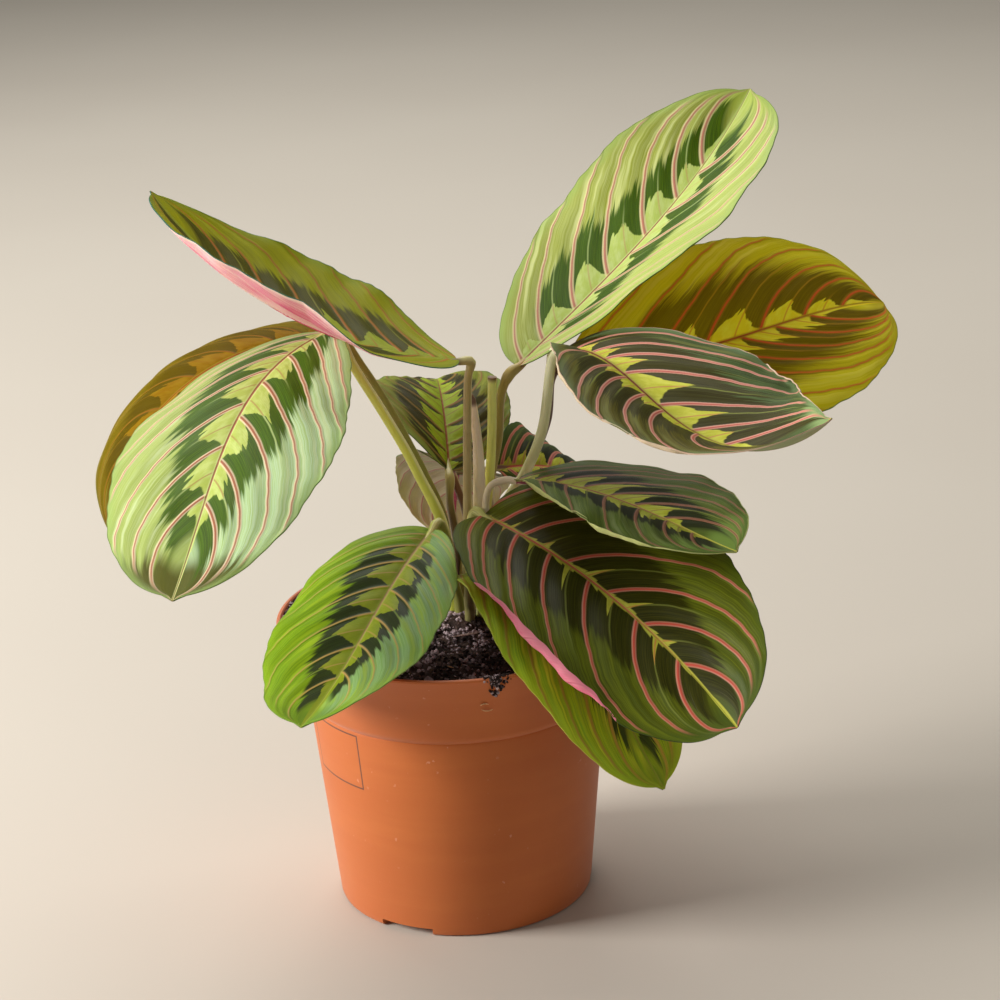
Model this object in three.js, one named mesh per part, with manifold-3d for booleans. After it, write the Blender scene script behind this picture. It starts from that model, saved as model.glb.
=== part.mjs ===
// Potted prayer plant: a prayer plant with red-veined leaves, standing in compost in a 12 cm
// terracotta-coloured plastic nursery pot.
// Millimetres, +Z up. The origin is the centre of the pot's underside, on the surface it stands on.
// +X runs to the viewer's right and -Y towards the viewer. Angles are in degrees.
import * as THREE from 'three';
import { mergeVertices } from 'three/addons/utils/BufferGeometryUtils.js';
import Module from 'manifold-3d';

const wasm = await Module();
wasm.setup();

const gap = 0.35; // what touching pieces keep between them

// ---- the pot -------------------------------------------------------------------------------
const potHeight = 100;
const rimRadius = 60;
const ridgeHeight = 75.4; // the crease where the wall turns out into the band
const ridgeRadius = 50.9;
const baseRadius = 43.6;
const wall = 1.2;
const floorThickness = 1.2;
const bandStep = 0.8; // the band stands this far out of the wall at the crease
const footBevel = 0.8;
const lipHeight = 1.4; // the straight edge round the rim
const edgeSoftening = 0.6;
const potSides = 64;

const channelAngles = [241, 1, 121]; // drainage channels pressed up in the pot's floor
const channelHeight = 2.6;
const channelInner = 15; // where a channel starts, from the axis
const channelHalfInner = 4;
const channelHalfOuter = 10.4;
const drainRadius = 3;
const drainPlaces = [22, 34]; // distances of a channel's drain holes from the axis
const drainSides = 16;
const overrun = 2; // how far a cutting shape passes the face it cuts

// ---- compost and rootstock ------------------------------------------------------------------
const compostTop = 90.5;
const compostDrop = 1.5; // the compost lies this much lower along the pot's wall
const compostLevelRadius = 40;
const compostSides = 40;
const crownCentre = new THREE.Vector2(8, 24); // where the stems come up
const crownRadius = 14.5;
const crownTop = 92;
const crownSides = 24;
const rootFootRadius = 2.9;
const rootTipRadius = 0.9;
const rootSides = 6;

// ---- leaves ---------------------------------------------------------------------------------
const bladeThickness = 0.9;
const bladeRows = 12;
const bladeColumns = 8;
const bladeEndHalf = 1.1; // half width of the blade where it meets its stalk, and at its tip
const widestPlace = 0.48; // share of the length where a blade is widest
const roundness = 0.55; // the smaller, the blunter a blade's two ends

// Every leaf has: at, where the stalk meets the blade; size, the length and the half widths on its
// left and right; heading, climb, the compass direction (0 is +X, 90 is away from the viewer) and the
// slope of the midrib at its base, middle and tip; roll at base and tip, with the left side up when
// positive; fold, how far each half tips up from the midrib; and curl, how far each half bends on
// from there to its margin. foot is where its stalk leaves the crown, seen from above, and route is
// the points that the stalk passes on the way. stalk is its radius at the foot and at the blade.
const leaves = {
  upright_right: {
    at: [25.5, 27, 177.5], size: [131, 40, 38.5],
    heading: [37, 30, 52], climb: [29, 37, 41], roll: [-5, 13], fold: 15, curl: [-3, 3],
    foot: [12, 28.5], route: [[14.3, 30, 134], [18, 30, 151], [19.5, 29.5, 166]], stalk: [1.9, 1.5],
    colour: 0x9cc26a,
  },
  back_right: {
    at: [42, 30.5, 174], size: [129, 38, 38.5],
    heading: [-11, 21, 49], climb: [1, 8, -16], roll: [44, 39], fold: 10, curl: [-13, -14],
    foot: [16, 28.5], route: [[18, 30, 116], [22.5, 33, 130], [29, 33.5, 141], [35, 32, 156]],
    stalk: [1.8, 1.5], colour: 0x8a8a2a,
  },
  arched_right: {
    at: [40, 16, 185.5], size: [130, 39, 34.5], widest: 0.58,
    heading: [-56, -59, -14], climb: [21, -15, 45], roll: [-2, 3], fold: 24, curl: [-19, -17],
    foot: [15.5, 23.5], route: [[17, 25, 116], [20.5, 28, 129], [26.5, 28.5, 138], [33, 24, 155]],
    stalk: [2, 1.6], colour: 0x3f6b3a,
  },
  side_right: {
    at: [23.5, 15, 141], size: [93, 29, 28],
    heading: [-24, -45, -57], climb: [6, -7, 1], roll: [-9, 10], fold: 15, curl: [-18, -15],
    foot: [14, 18.5], route: [[13.8, 18.5, 118], [12.6, 18, 130], [14.5, 16.5, 138.5]],
    stalk: [1.6, 1.2], colour: 0x3f6b3a,
  },
  front_right: {
    at: [11.5, 15, 129], size: [129, 38, 38.5], roundness: 0.45,
    heading: [-51, -52, -56], climb: [-4, -18, -30], roll: [1, 47], fold: 4, curl: [-12, 22],
    foot: [9.5, 14.5], route: [[7, 14.3, 104], [6, 14.5, 116]], stalk: [1.7, 1.4],
    colour: 0x24452a,
  },
  front_low: {
    at: [9, 6.5, 107.5], size: [116, 31, 29],
    heading: [-53, -55, -42], climb: [44, -35, -52], roll: [-11, 15], fold: 7, curl: [-14, -12],
    foot: [5.5, 11], route: [[5.3, 8, 101], [5.8, 4, 108.5]], stalk: [1.6, 1.4],
    colour: 0x86a326,
  },
  front_left: {
    at: [-6, 10, 126.5], size: [103, 26.5, 32.5],
    heading: [236, 246, 245], climb: [-18, -20, -6], roll: [-2, 9], fold: 15, curl: [-25, -28],
    foot: [2, 16.5], route: [[0.5, 15, 106], [-0.5, 14, 119]], stalk: [1.6, 1.4],
    colour: 0x6f9a34,
  },
  hanging_left: {
    at: [-38.5, 28.5, 192], size: [131, 39, 41],
    heading: [223, 252, 251], climb: [-6, -25, -32], roll: [11, 6], fold: 5, curl: [-22, -21],
    foot: [0, 21],
    route: [[-2.5, 21.5, 124], [-9.5, 23, 141], [-14, 24, 151], [-21, 26, 164], [-30, 28.5, 180]],
    stalk: [1.9, 1.5], colour: 0xa4c98c,
  },
  behind_left: {
    at: [-39.5, 42.5, 187.5], size: [122, 34, 36],
    heading: [187, 200, 202], climb: [0, -37, -101], roll: [-9, -16], fold: 7, curl: [-50, -59],
    foot: [-1, 25.5],
    route: [[-2, 27.5, 123], [-8, 31, 139.5], [-12.5, 33.5, 149], [-19, 36.5, 162], [-27, 39.5, 175.5]],
    stalk: [1.6, 1.4], colour: 0x9a7a30,
  },
  folded_left: {
    at: [5.5, 7.5, 186.5], size: [125, 36.5, 37.5], widest: 0.46,
    heading: [190, 150, 147], climb: [10, 22, 48], roll: [8, 24], fold: 7, curl: [29, 33],
    foot: [3.5, 22.5], route: [[5.8, 20.5, 118], [6.6, 20, 135], [7.4, 17.5, 156], [8.5, 12.5, 178]],
    stalk: [1.6, 1.3], colour: 0x7f8f3a,
  },
  back_centre: {
    at: [1, 37, 138], size: [82, 26, 24.5],
    heading: [91, 93, 91], climb: [33, 7, -22], roll: [32, -8], fold: 12, curl: [-15, -11],
    foot: [3.5, 29.5], route: [[2, 31.5, 116], [0.5, 33, 128]], stalk: [1.5, 1.3],
    colour: 0x6d8424,
  },
  back_drooping: {
    at: [2.5, 41.5, 135.5], size: [68, 22.5, 19.5],
    heading: [83, 94, 102], climb: [-3, -42, -77], roll: [22, 1], fold: 12, curl: [-16, -16],
    foot: [7.5, 32.5], route: [[7.5, 34, 106], [5.5, 36.5, 124]], stalk: [1.5, 1.2],
    colour: 0x9a9a6a,
  },
  back_dark: {
    at: [18, 41, 136.5], size: [65, 23, 19.5],
    heading: [32, 33, 27], climb: [-4, -23, -34], roll: [55, -22], fold: 8, curl: [-17, -16],
    foot: [12, 33], route: [[13, 34.5, 110], [14.5, 36.5, 126]], stalk: [1.5, 1.2],
    colour: 0x2c4a26,
  },
};

// a stalk that was cut off, and a young leaf still rolled up in its sheath: radius at foot and top
const cutStalk = {
  foot: [8.5, 25.5], route: [[14.5, 26.5, 138], [16, 26, 156], [16.8, 25.5, 174.5]], stalk: [1.8, 1.5],
};
const rolledLeaf = {
  foot: [9, 20.5], route: [[10.6, 23, 127], [11, 23, 146], [9.6, 22.5, 170]], stalk: [2.7, 0.8],
};
const stalkSides = 8;
const stalkStep = 7; // length of one ring to the next
const stemRise = 5; // every stem starts straight up for this height
const neckLength = 4; // a stalk runs this far in line with the midrib before it meets the blade
const stalkColour = 0xa8b060;

const group = new THREE.Group();

function addPiece(name, geometry, colour, roughness) {
  const material = new THREE.MeshStandardMaterial({ color: colour, roughness, metalness: 0 });
  const mesh = new THREE.Mesh(geometry, material);
  mesh.name = name;
  group.add(mesh);
}

const radians = THREE.MathUtils.degToRad;

// a closed mesh as a solid that can be joined and cut, and back
function toSolid(geometry) {
  const bare = geometry.clone();
  bare.deleteAttribute('normal');
  bare.deleteAttribute('uv');
  const merged = mergeVertices(bare, 1e-4);
  const mesh = new wasm.Mesh({
    numProp: 3,
    vertProperties: new Float32Array(merged.attributes.position.array),
    triVerts: new Uint32Array(merged.index.array),
  });
  return new wasm.Manifold(mesh);
}

function toGeometry(solid) {
  const mesh = solid.getMesh();
  const geometry = new THREE.BufferGeometry();
  geometry.setAttribute('position', new THREE.BufferAttribute(mesh.vertProperties, 3));
  geometry.setIndex(new THREE.BufferAttribute(mesh.triVerts, 1));
  geometry.computeVertexNormals();
  return geometry;
}

// a profile of [radius, height] points, from the axis and back to it, turned about the Z axis
function turned(profile, sides) {
  const points = profile.map(([radius, height]) => new THREE.Vector2(radius, height));
  return new THREE.LatheGeometry(points, sides).rotateX(Math.PI / 2);
}

// ---- pot ------------------------------------------------------------------------------------
// outer radius of the plain wall at a height
function wallRadius(height) {
  return baseRadius + ((ridgeRadius - baseRadius) * height) / ridgeHeight;
}

function potOutline() {
  return [
    [0, 0],
    [baseRadius - footBevel, 0],
    [wallRadius(footBevel), footBevel],
    [ridgeRadius, ridgeHeight],
    [ridgeRadius + bandStep, ridgeHeight + bandStep],
    [rimRadius - edgeSoftening, potHeight - lipHeight],
    [rimRadius, potHeight - lipHeight + edgeSoftening],
    [rimRadius, potHeight - edgeSoftening / 3],
    [rimRadius - edgeSoftening, potHeight],
  ];
}

function potInside() {
  return [
    [rimRadius - wall - edgeSoftening, potHeight],
    [rimRadius - wall - 2 * edgeSoftening, potHeight - edgeSoftening],
    [ridgeRadius + bandStep - wall, ridgeHeight + 2 * bandStep],
    [ridgeRadius - wall, ridgeHeight],
    [wallRadius(floorThickness) - wall, floorThickness],
    [0, floorThickness],
  ];
}

// a channel's own shape, widening outwards, with a skin of some thickness all round it
function channelWedge(angle, skin, low) {
  const from = channelInner - skin;
  const to = baseRadius + overrun;
  const plan = new THREE.Shape([
    new THREE.Vector2(from, -channelHalfInner - skin),
    new THREE.Vector2(to, -channelHalfOuter - skin),
    new THREE.Vector2(to, channelHalfOuter + skin),
    new THREE.Vector2(from, channelHalfInner + skin),
  ]);
  const wedge = new THREE.ExtrudeGeometry(plan, { depth: channelHeight + skin - low, bevelEnabled: false });
  return toSolid(wedge.translate(0, 0, low).rotateZ(radians(angle)));
}

// the raised roofs over the channels, with what is added all round for a seat that clears them
function channelRoofs(added) {
  const roofs = channelAngles.map((angle) => channelWedge(angle, floorThickness + added, floorThickness / 2));
  return roofs.reduce((joined, roof) => joined.add(roof));
}

function makePot() {
  const outline = potOutline();
  const filled = toSolid(turned([...outline, [0, potHeight]], potSides));
  let pot = toSolid(turned([...outline, ...potInside()], potSides));
  pot = pot.add(channelRoofs(0).intersect(filled));
  const drillLength = floorThickness + 2 * overrun;
  for (const angle of channelAngles) {
    pot = pot.subtract(channelWedge(angle, 0, -overrun));
    for (const place of drainPlaces) {
      const drill = new THREE.CylinderGeometry(drainRadius, drainRadius, drillLength, drainSides);
      drill.rotateX(Math.PI / 2).translate(place, 0, channelHeight).rotateZ(radians(angle));
      pot = pot.subtract(toSolid(drill));
    }
  }
  return toGeometry(pot);
}

// ---- stems: a cylinder bent along a curve, thinner towards its top ---------------------------
function bentStem(points, footRadius, topRadius, sides) {
  const curve = new THREE.CatmullRomCurve3(points.map((point) => new THREE.Vector3(...point)));
  const steps = Math.max(3, Math.round(curve.getLength() / stalkStep));
  const frames = curve.computeFrenetFrames(steps, false);
  const stem = new THREE.CylinderGeometry(1, 1, 1, sides, steps);
  const places = stem.attributes.position;
  for (let i = 0; i < places.count; i += 1) {
    const along = places.getY(i) + 0.5;
    const ring = Math.round(along * steps);
    const radius = THREE.MathUtils.lerp(footRadius, topRadius, along);
    const place = curve.getPointAt(ring / steps);
    place.addScaledVector(frames.normals[ring], places.getX(i) * radius);
    place.addScaledVector(frames.binormals[ring], -places.getZ(i) * radius);
    places.setXYZ(i, place.x, place.y, place.z);
  }
  stem.computeVertexNormals();
  return stem;
}

// ---- rootstock: the short crown that the stems grow from, and its main roots ------------------
// added is what its socket in the compost is larger by, all round
function rootstockSolid(added) {
  const profile = [
    [0, 54 - added],
    [5.5 + added, 62],
    [9 + added, 76],
    [crownRadius - 1 + added, 86],
    [crownRadius + added, crownTop - 2],
    [crownRadius - 2 + added, crownTop + added],
    [0, crownTop + added],
  ];
  const { x, y } = crownCentre;
  const roots = [
    [[x, y, 82], [x - 14, y + 4, 62], [-24, 16, 30 - added]],
    [[x, y, 80], [x + 16, y + 2, 60], [30, 10, 28 - added]],
    [[x, y, 78], [x - 2, y - 20, 56], [2, -22, 26 - added]],
    [[x, y, 74], [x + 2, y + 9, 50], [6, 31, 24 - added]],
  ];
  let joined = toSolid(turned(profile, crownSides).translate(x, y, 0));
  for (const route of roots) {
    joined = joined.add(toSolid(bentStem(route, rootFootRadius + added, rootTipRadius + added, rootSides)));
  }
  return joined;
}

// ---- compost: fills the pot to just under its rim --------------------------------------------
function makeCompost() {
  const sideTop = compostTop - compostDrop;
  const share = (sideTop - ridgeHeight) / (potHeight - ridgeHeight);
  const sideRadius = THREE.MathUtils.lerp(ridgeRadius, rimRadius - 2 * edgeSoftening, share) - wall - gap;
  const profile = [
    [0, floorThickness + gap],
    [wallRadius(floorThickness) - wall - gap, floorThickness + gap],
    [ridgeRadius - wall - gap, ridgeHeight],
    [sideRadius, sideTop],
    [compostLevelRadius, compostTop],
    [0, compostTop],
  ];
  const filled = toSolid(turned(profile, compostSides));
  return toGeometry(filled.subtract(channelRoofs(gap)).subtract(rootstockSolid(gap)));
}

// ---- leaf blades: a thin sheet whose middle line follows the midrib ---------------------------
// a value given at base, middle and tip, read anywhere between
function through([base, middle, tip], along) {
  const rest = 1 - along;
  return base * rest * (1 - 2 * along) + 4 * middle * along * rest + tip * along * (2 * along - 1);
}

// direction of the midrib, of the blade's left side and of its upper face
function midribFrame(leaf, along) {
  const heading = radians(through(leaf.heading, along));
  const climb = radians(through(leaf.climb, along));
  const roll = radians(THREE.MathUtils.lerp(leaf.roll[0], leaf.roll[1], along));
  const forward = new THREE.Vector3(
    Math.cos(climb) * Math.cos(heading),
    Math.cos(climb) * Math.sin(heading),
    Math.sin(climb),
  );
  const left = new THREE.Vector3(-Math.sin(heading), Math.cos(heading), 0);
  const up = forward.clone().cross(left);
  left.applyAxisAngle(forward, roll);
  up.applyAxisAngle(forward, roll);
  return { forward, left, up };
}

function midribPoints(leaf, stops) {
  const steps = 60;
  const point = new THREE.Vector3(...leaf.at);
  const track = [point.clone()];
  for (let i = 0; i < steps; i += 1) {
    point.addScaledVector(midribFrame(leaf, (i + 0.5) / steps).forward, leaf.size[0] / steps);
    track.push(point.clone());
  }
  return stops.map((stop) => {
    const place = Math.min(stop * steps, steps - 1e-6);
    const before = Math.floor(place);
    return track[before].clone().lerp(track[before + 1], place - before);
  });
}

// how wide half a blade is, as a share of its widest
function bladeOutline(leaf, along) {
  const widest = leaf.widest ?? widestPlace;
  const skew = Math.log(0.5) / Math.log(widest);
  return Math.sin(Math.PI * along ** skew) ** (leaf.roundness ?? roundness);
}

function makeBlade(leaf) {
  // the rows lie closer together towards the two ends
  const stops = [];
  for (let row = 0; row <= bladeRows; row += 1) {
    stops.push((1 - Math.cos((Math.PI * row) / bladeRows)) / 2);
  }
  const midrib = midribPoints(leaf, stops);
  const blade = new THREE.BoxGeometry(2, 1, 1, bladeColumns, bladeRows, 1);
  const places = blade.attributes.position;
  for (let i = 0; i < places.count; i += 1) {
    const row = Math.round((places.getY(i) + 0.5) * bladeRows);
    const across = -places.getX(i); // 1 at the left margin, -1 at the right one
    const side = across < 0 ? -1 : 1;
    const half = leaf.size[side > 0 ? 1 : 2];
    const out = Math.abs(across) * Math.max(half * bladeOutline(leaf, stops[row]), bladeEndHalf);
    const fold = radians(leaf.fold);
    const bend = radians(leaf.curl[side > 0 ? 0 : 1]) / half;
    const tip = fold + bend * out;
    const reach = (Math.sin(tip) - Math.sin(fold)) / bend;
    const lift = (Math.cos(fold) - Math.cos(tip)) / bend;
    const { left, up } = midribFrame(leaf, stops[row]);
    const lean = across === 0 ? 0 : tip;
    const place = midrib[row].clone().addScaledVector(left, side * reach).addScaledVector(up, lift);
    const skin = Math.sign(places.getZ(i)) * (bladeThickness / 2);
    place.addScaledVector(left, -side * Math.sin(lean) * skin).addScaledVector(up, Math.cos(lean) * skin);
    places.setXYZ(i, place.x, place.y, place.z);
  }
  blade.computeVertexNormals();
  return blade;
}

// every stem starts straight up from the crown
function stemFoot(foot) {
  return [[...foot, crownTop + gap], [...foot, crownTop + stemRise]];
}

// a leaf's stalk: up from the crown, and into the blade's base in line with the midrib
function makeStalk(leaf) {
  const { forward } = midribFrame(leaf, 0);
  const base = new THREE.Vector3(...leaf.at);
  const neck = base.clone().addScaledVector(forward, -neckLength);
  const end = base.clone().addScaledVector(forward, -gap);
  const points = [...stemFoot(leaf.foot), ...leaf.route, neck.toArray(), end.toArray()];
  return bentStem(points, leaf.stalk[0], leaf.stalk[1], stalkSides);
}

function makeLooseStem(stem) {
  return bentStem([...stemFoot(stem.foot), ...stem.route], stem.stalk[0], stem.stalk[1], stalkSides);
}

addPiece('pot', makePot(), 0xc46a40, 0.5);
addPiece('compost', makeCompost(), 0x2a211b, 0.95);
addPiece('rootstock', toGeometry(rootstockSolid(0)), 0xb09a72, 0.8);
for (const [name, leaf] of Object.entries(leaves)) {
  addPiece(`leaf_${name}`, makeBlade(leaf), leaf.colour, 0.45);
  addPiece(`stalk_${name}`, makeStalk(leaf), stalkColour, 0.5);
}
addPiece('cut_stalk', makeLooseStem(cutStalk), stalkColour, 0.5);
addPiece('rolled_leaf', makeLooseStem(rolledLeaf), 0xb9a98a, 0.6);

export default group;
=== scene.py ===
# Potted prayer plant: red-veined leaves on slender stalks, in compost in a terracotta-coloured pot.
# Numbers in the dictionaries are millimetres and degrees. Meshes are in metres.
import math
import random

import bpy
import numpy as np
from mathutils import Euler, Matrix, Vector, noise


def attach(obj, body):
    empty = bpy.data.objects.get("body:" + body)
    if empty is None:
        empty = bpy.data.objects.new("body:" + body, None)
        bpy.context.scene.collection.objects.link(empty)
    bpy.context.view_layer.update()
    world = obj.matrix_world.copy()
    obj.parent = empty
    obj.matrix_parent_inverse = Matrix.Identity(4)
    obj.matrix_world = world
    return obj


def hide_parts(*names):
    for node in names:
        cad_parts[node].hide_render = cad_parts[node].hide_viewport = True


mm = 0.001
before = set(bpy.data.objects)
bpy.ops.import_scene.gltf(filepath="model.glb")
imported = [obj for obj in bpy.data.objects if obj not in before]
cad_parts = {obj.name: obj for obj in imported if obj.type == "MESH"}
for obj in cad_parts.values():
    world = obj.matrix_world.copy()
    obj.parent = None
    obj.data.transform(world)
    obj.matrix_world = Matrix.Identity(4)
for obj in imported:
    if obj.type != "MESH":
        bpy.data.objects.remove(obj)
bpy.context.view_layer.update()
print("frame loaded with", len(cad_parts), "nodes")


def selectOnly(piece):
    bpy.ops.object.select_all(action="DESELECT")
    piece.select_set(True)
    bpy.context.view_layer.objects.active = piece


def named(name):
    piece = bpy.context.object
    piece.name = name
    piece.data.name = name
    return piece


def startEdit(piece):
    selectOnly(piece)
    bpy.ops.object.mode_set(mode="EDIT")
    bpy.ops.mesh.select_all(action="SELECT")


def endEdit():
    bpy.ops.mesh.select_all(action="SELECT")
    bpy.ops.mesh.normals_make_consistent(inside=False)
    bpy.ops.object.mode_set(mode="OBJECT")


def applyModifiers(piece):
    selectOnly(piece)
    for modifier in list(piece.modifiers):
        bpy.ops.object.modifier_apply(modifier=modifier.name)


def applyPlace(piece):
    selectOnly(piece)
    bpy.ops.object.transform_apply(location=True, rotation=True, scale=True)


def smoothShade(piece, angle):
    selectOnly(piece)
    bpy.ops.object.shade_smooth_by_angle(angle=math.radians(angle))


def finishPiece(piece, slotName, nodes, *materials):
    for material in materials:
        piece.data.materials.append(material)
    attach(piece, "root")
    if nodes:
        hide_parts(*nodes)


def meshPoints(piece):
    points = np.empty(len(piece.data.vertices) * 3)
    piece.data.vertices.foreach_get("co", points)
    return points.reshape(-1, 3)


def movePoints(piece, points):
    piece.data.vertices.foreach_set("co", np.asarray(points, float).ravel())
    piece.data.update()


def addGrid(name, columns, rows):
    # a flat grid, with the column and the row of each of its points
    bpy.ops.mesh.primitive_grid_add(x_subdivisions=columns, y_subdivisions=rows, size=2)
    piece = named(name)
    share = (meshPoints(piece)[:, :2] + 1) / 2
    return piece, np.rint(share[:, 0] * columns).astype(int), np.rint(share[:, 1] * rows).astype(int)


def clearMaps(piece):
    # new maps are written for the points of the corners, which are given back
    mesh = piece.data
    while mesh.uv_layers:
        mesh.uv_layers.remove(mesh.uv_layers[0])
    corners = np.empty(len(mesh.loops), int)
    mesh.loops.foreach_get("vertex_index", corners)
    return corners


def writeMap(piece, mapName, first, second):
    layer = piece.data.uv_layers.new(name=mapName)
    layer.data.foreach_set("uv", np.stack([first, second], -1).ravel())


def onCircle(radius, angle):
    return radius * math.cos(angle), radius * math.sin(angle)


class Flow:
    # a value in a node tree: arithmetic on it adds math nodes
    def __init__(self, socket):
        self.socket = socket

    def __add__(self, other):
        return calc("ADD", self, other)

    def __radd__(self, other):
        return calc("ADD", other, self)

    def __sub__(self, other):
        return calc("SUBTRACT", self, other)

    def __rsub__(self, other):
        return calc("SUBTRACT", other, self)

    def __mul__(self, other):
        return calc("MULTIPLY", self, other)

    def __truediv__(self, other):
        return calc("DIVIDE", self, other)

    def __abs__(self):
        return calc("ABSOLUTE", self)


def paint(hexColour):
    # a colour as it shows on the screen, made linear
    parts = [int(hexColour[i:i + 2], 16) / 255 for i in (1, 3, 5)]
    return tuple(p / 12.92 if p <= 0.04045 else ((p + 0.055) / 1.055) ** 2.4 for p in parts) + (1.0,)


def feed(socket, value):
    if isinstance(value, Flow):
        socket.id_data.links.new(value.socket, socket)
    else:
        socket.default_value = paint(value) if isinstance(value, str) else value


def addNode(kind, source, **settings):
    # a node in the tree of the source, which is a Flow or the tree
    tree = source.socket.id_data if isinstance(source, Flow) else source
    step = tree.nodes.new(kind)
    for setting, value in settings.items():
        setattr(step, setting, value)
    return step


def feedAll(step, values):
    for socket, value in zip(step.inputs, values):
        feed(socket, value)
    return step


def calc(operation, *values):
    source = next(value for value in values if isinstance(value, Flow))
    return Flow(feedAll(addNode("ShaderNodeMath", source, operation=operation), values).outputs[0])


def rise(value, low, high):
    # 0 below low, 1 above high, smooth in between
    step = addNode("ShaderNodeMapRange", value, interpolation_type="SMOOTHSTEP")
    return Flow(feedAll(step, (value, low, high)).outputs["Result"])


def fall(value, low, high):
    return 1.0 - rise(value, low, high)


def blend(share, first, second):
    step = addNode("ShaderNodeMix", share, data_type="RGBA")
    for socket, value in ((0, share), (6, first), (7, second)):
        feed(step.inputs[socket], value)
    return Flow(step.outputs[2])


def joinAxes(x, y, z):
    return Flow(feedAll(addNode("ShaderNodeCombineXYZ", x), (x, y, z)).outputs[0])


def splitAxes(vector):
    return [Flow(socket) for socket in feedAll(addNode("ShaderNodeSeparateXYZ", vector), (vector,)).outputs]


def mapAxes(tree, mapName):
    return splitAxes(Flow(addNode("ShaderNodeUVMap", tree, uv_map=mapName).outputs[0]))[:2]


def objectPlace(tree):
    return Flow(addNode("ShaderNodeTexCoord", tree).outputs["Object"])


def cloud(vector, scale, detail=2.0, roughness=0.5):
    step = addNode("ShaderNodeTexNoise", vector)
    for name, value in (("Vector", vector), ("Scale", scale), ("Detail", detail), ("Roughness", roughness)):
        feed(step.inputs[name], value)
    return Flow(step.outputs[0])


def startMaterial(name, **settings):
    material = bpy.data.materials.new(name)
    material.use_nodes = True
    for socketName, value in settings.items():
        material.node_tree.nodes["Principled BSDF"].inputs[socketName].default_value = value
    return material, material.node_tree


def dress(material, colour, height=None, depth=0.0, strength=1.0):
    # the colour of a material and its relief
    shader = material.node_tree.nodes["Principled BSDF"]
    feed(shader.inputs["Base Color"], colour)
    if height:
        bump = addNode("ShaderNodeBump", height)
        for name, value in (("Strength", strength), ("Distance", depth * mm), ("Height", height)):
            feed(bump.inputs[name], value)
        feed(shader.inputs["Normal"], Flow(bump.outputs[0]))
    return material


# camera, floor and light
view = {"place": (0, -880, 450.8), "turn": 1.12, "dip": 19.5, "lean": -2.42, "lens": 100.8, "near": 10}


def placeCamera():
    data = bpy.data.cameras.new("camera")
    data.lens = view["lens"]
    data.clip_start = view["near"] * mm
    camera = bpy.data.objects.new("camera", data)
    bpy.context.scene.collection.objects.link(camera)
    pose = Matrix.Translation(Vector(view["place"]) * mm)
    for angle, axis in ((-view["turn"], "Z"), (90 - view["dip"], "X"), (view["lean"], "Z")):
        pose = pose @ Matrix.Rotation(math.radians(angle), 4, axis)
    camera.matrix_world = pose
    bpy.context.scene.camera = camera


studio = {
    "floorSize": 8000, "floorColours": ("#beb7ac", "#c6c0b5"), "aim": (0, 0, 120),
    "skyPower": 0.2, "skyTint": (1.0, 0.97, 0.9, 1.0),
    "lamps": {
        "key": {"place": (-1250, -160, 640), "size": 520, "power": 27, "tint": (1.0, 0.955, 0.92)},
        "window": {"place": (-250, 950, 1450), "size": 1300, "power": 22, "tint": (1.0, 0.98, 0.94)},
        "fill": {"place": (900, -1000, 500), "size": 900, "power": 1, "tint": (1.0, 0.95, 0.88)},
    },
}


def addLamp(name, lamp):
    data = bpy.data.lights.new(name, "AREA")
    data.size = lamp["size"] * mm
    data.energy = lamp["power"]
    data.color = lamp["tint"]
    piece = bpy.data.objects.new(name, data)
    bpy.context.scene.collection.objects.link(piece)
    place = Vector(lamp["place"]) * mm
    turn = (place - Vector(studio["aim"]) * mm).to_track_quat("Z", "Y")
    piece.matrix_world = Matrix.Translation(place) @ turn.to_matrix().to_4x4()


def placeStudio():
    bpy.ops.mesh.primitive_plane_add(size=studio["floorSize"] * mm)
    floor = named("floor")
    material, tree = startMaterial("paleFloor", **{"Roughness": 0.9, "Specular IOR Level": 0.2})
    dress(material, blend(cloud(objectPlace(tree), 3.0), *studio["floorColours"]))
    floor.data.materials.append(material)
    for name, lamp in studio["lamps"].items():
        addLamp(name, lamp)
    world = bpy.data.worlds.new("studioSky")
    bpy.context.scene.world = world
    world.use_nodes = True
    world.node_tree.nodes["Background"].inputs["Color"].default_value = studio["skyTint"]
    world.node_tree.nodes["Background"].inputs["Strength"].default_value = studio["skyPower"]
    bpy.context.scene.view_settings.view_transform = "Standard"


placeCamera()
placeStudio()
print("camera, floor and light in place")

# the pot; boxAngles, boxHeights and boxLine: the empty printed box on its wall
pot = {
    "foot": 43.6, "ridge": 50.9, "ridgeHeight": 75.4, "rim": 60, "height": 100,
    "wall": 1.2, "floor": 1.2, "segments": 144, "colours": ("#c0651c", "#b45814"),
    "channelAngles": (241, 1, 121), "channelHeight": 2.6, "channelInner": 15, "channelReach": 3,
    "channelHalfInner": 4, "channelHalfOuter": 10.4, "drainRadius": 3, "drainPlaces": (22, 34),
    "boxAngles": (196.5, 227.6), "boxHeights": (52.6, 72.4), "boxLine": 0.21,
}


def outerRings():
    foot, ridge, rim = pot["foot"], pot["ridge"], pot["rim"]
    crease, top = pot["ridgeHeight"], pot["height"]
    return [
        (foot - 1.5, 0), (foot - 0.7, 0.15), (foot - 0.2, 0.55), (foot + 0.05, 1.2),
        (foot + 0.24, 3.2), (foot + 0.52, 6.0), (ridge - 0.35, crease - 2.6), (ridge - 0.6, crease - 1.7),
        (ridge + 0.6, crease - 0.6), (ridge + 1.2, crease + 0.2), (ridge + 1.5, crease + 1.1),
        (ridge + 1.62, crease + 2.6), (rim - 0.6, top - 1.5), (rim - 0.15, top - 1.1), (rim, top - 0.7),
        (rim - 0.05, top - 0.25), (rim - 0.5, top),
    ]


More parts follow.
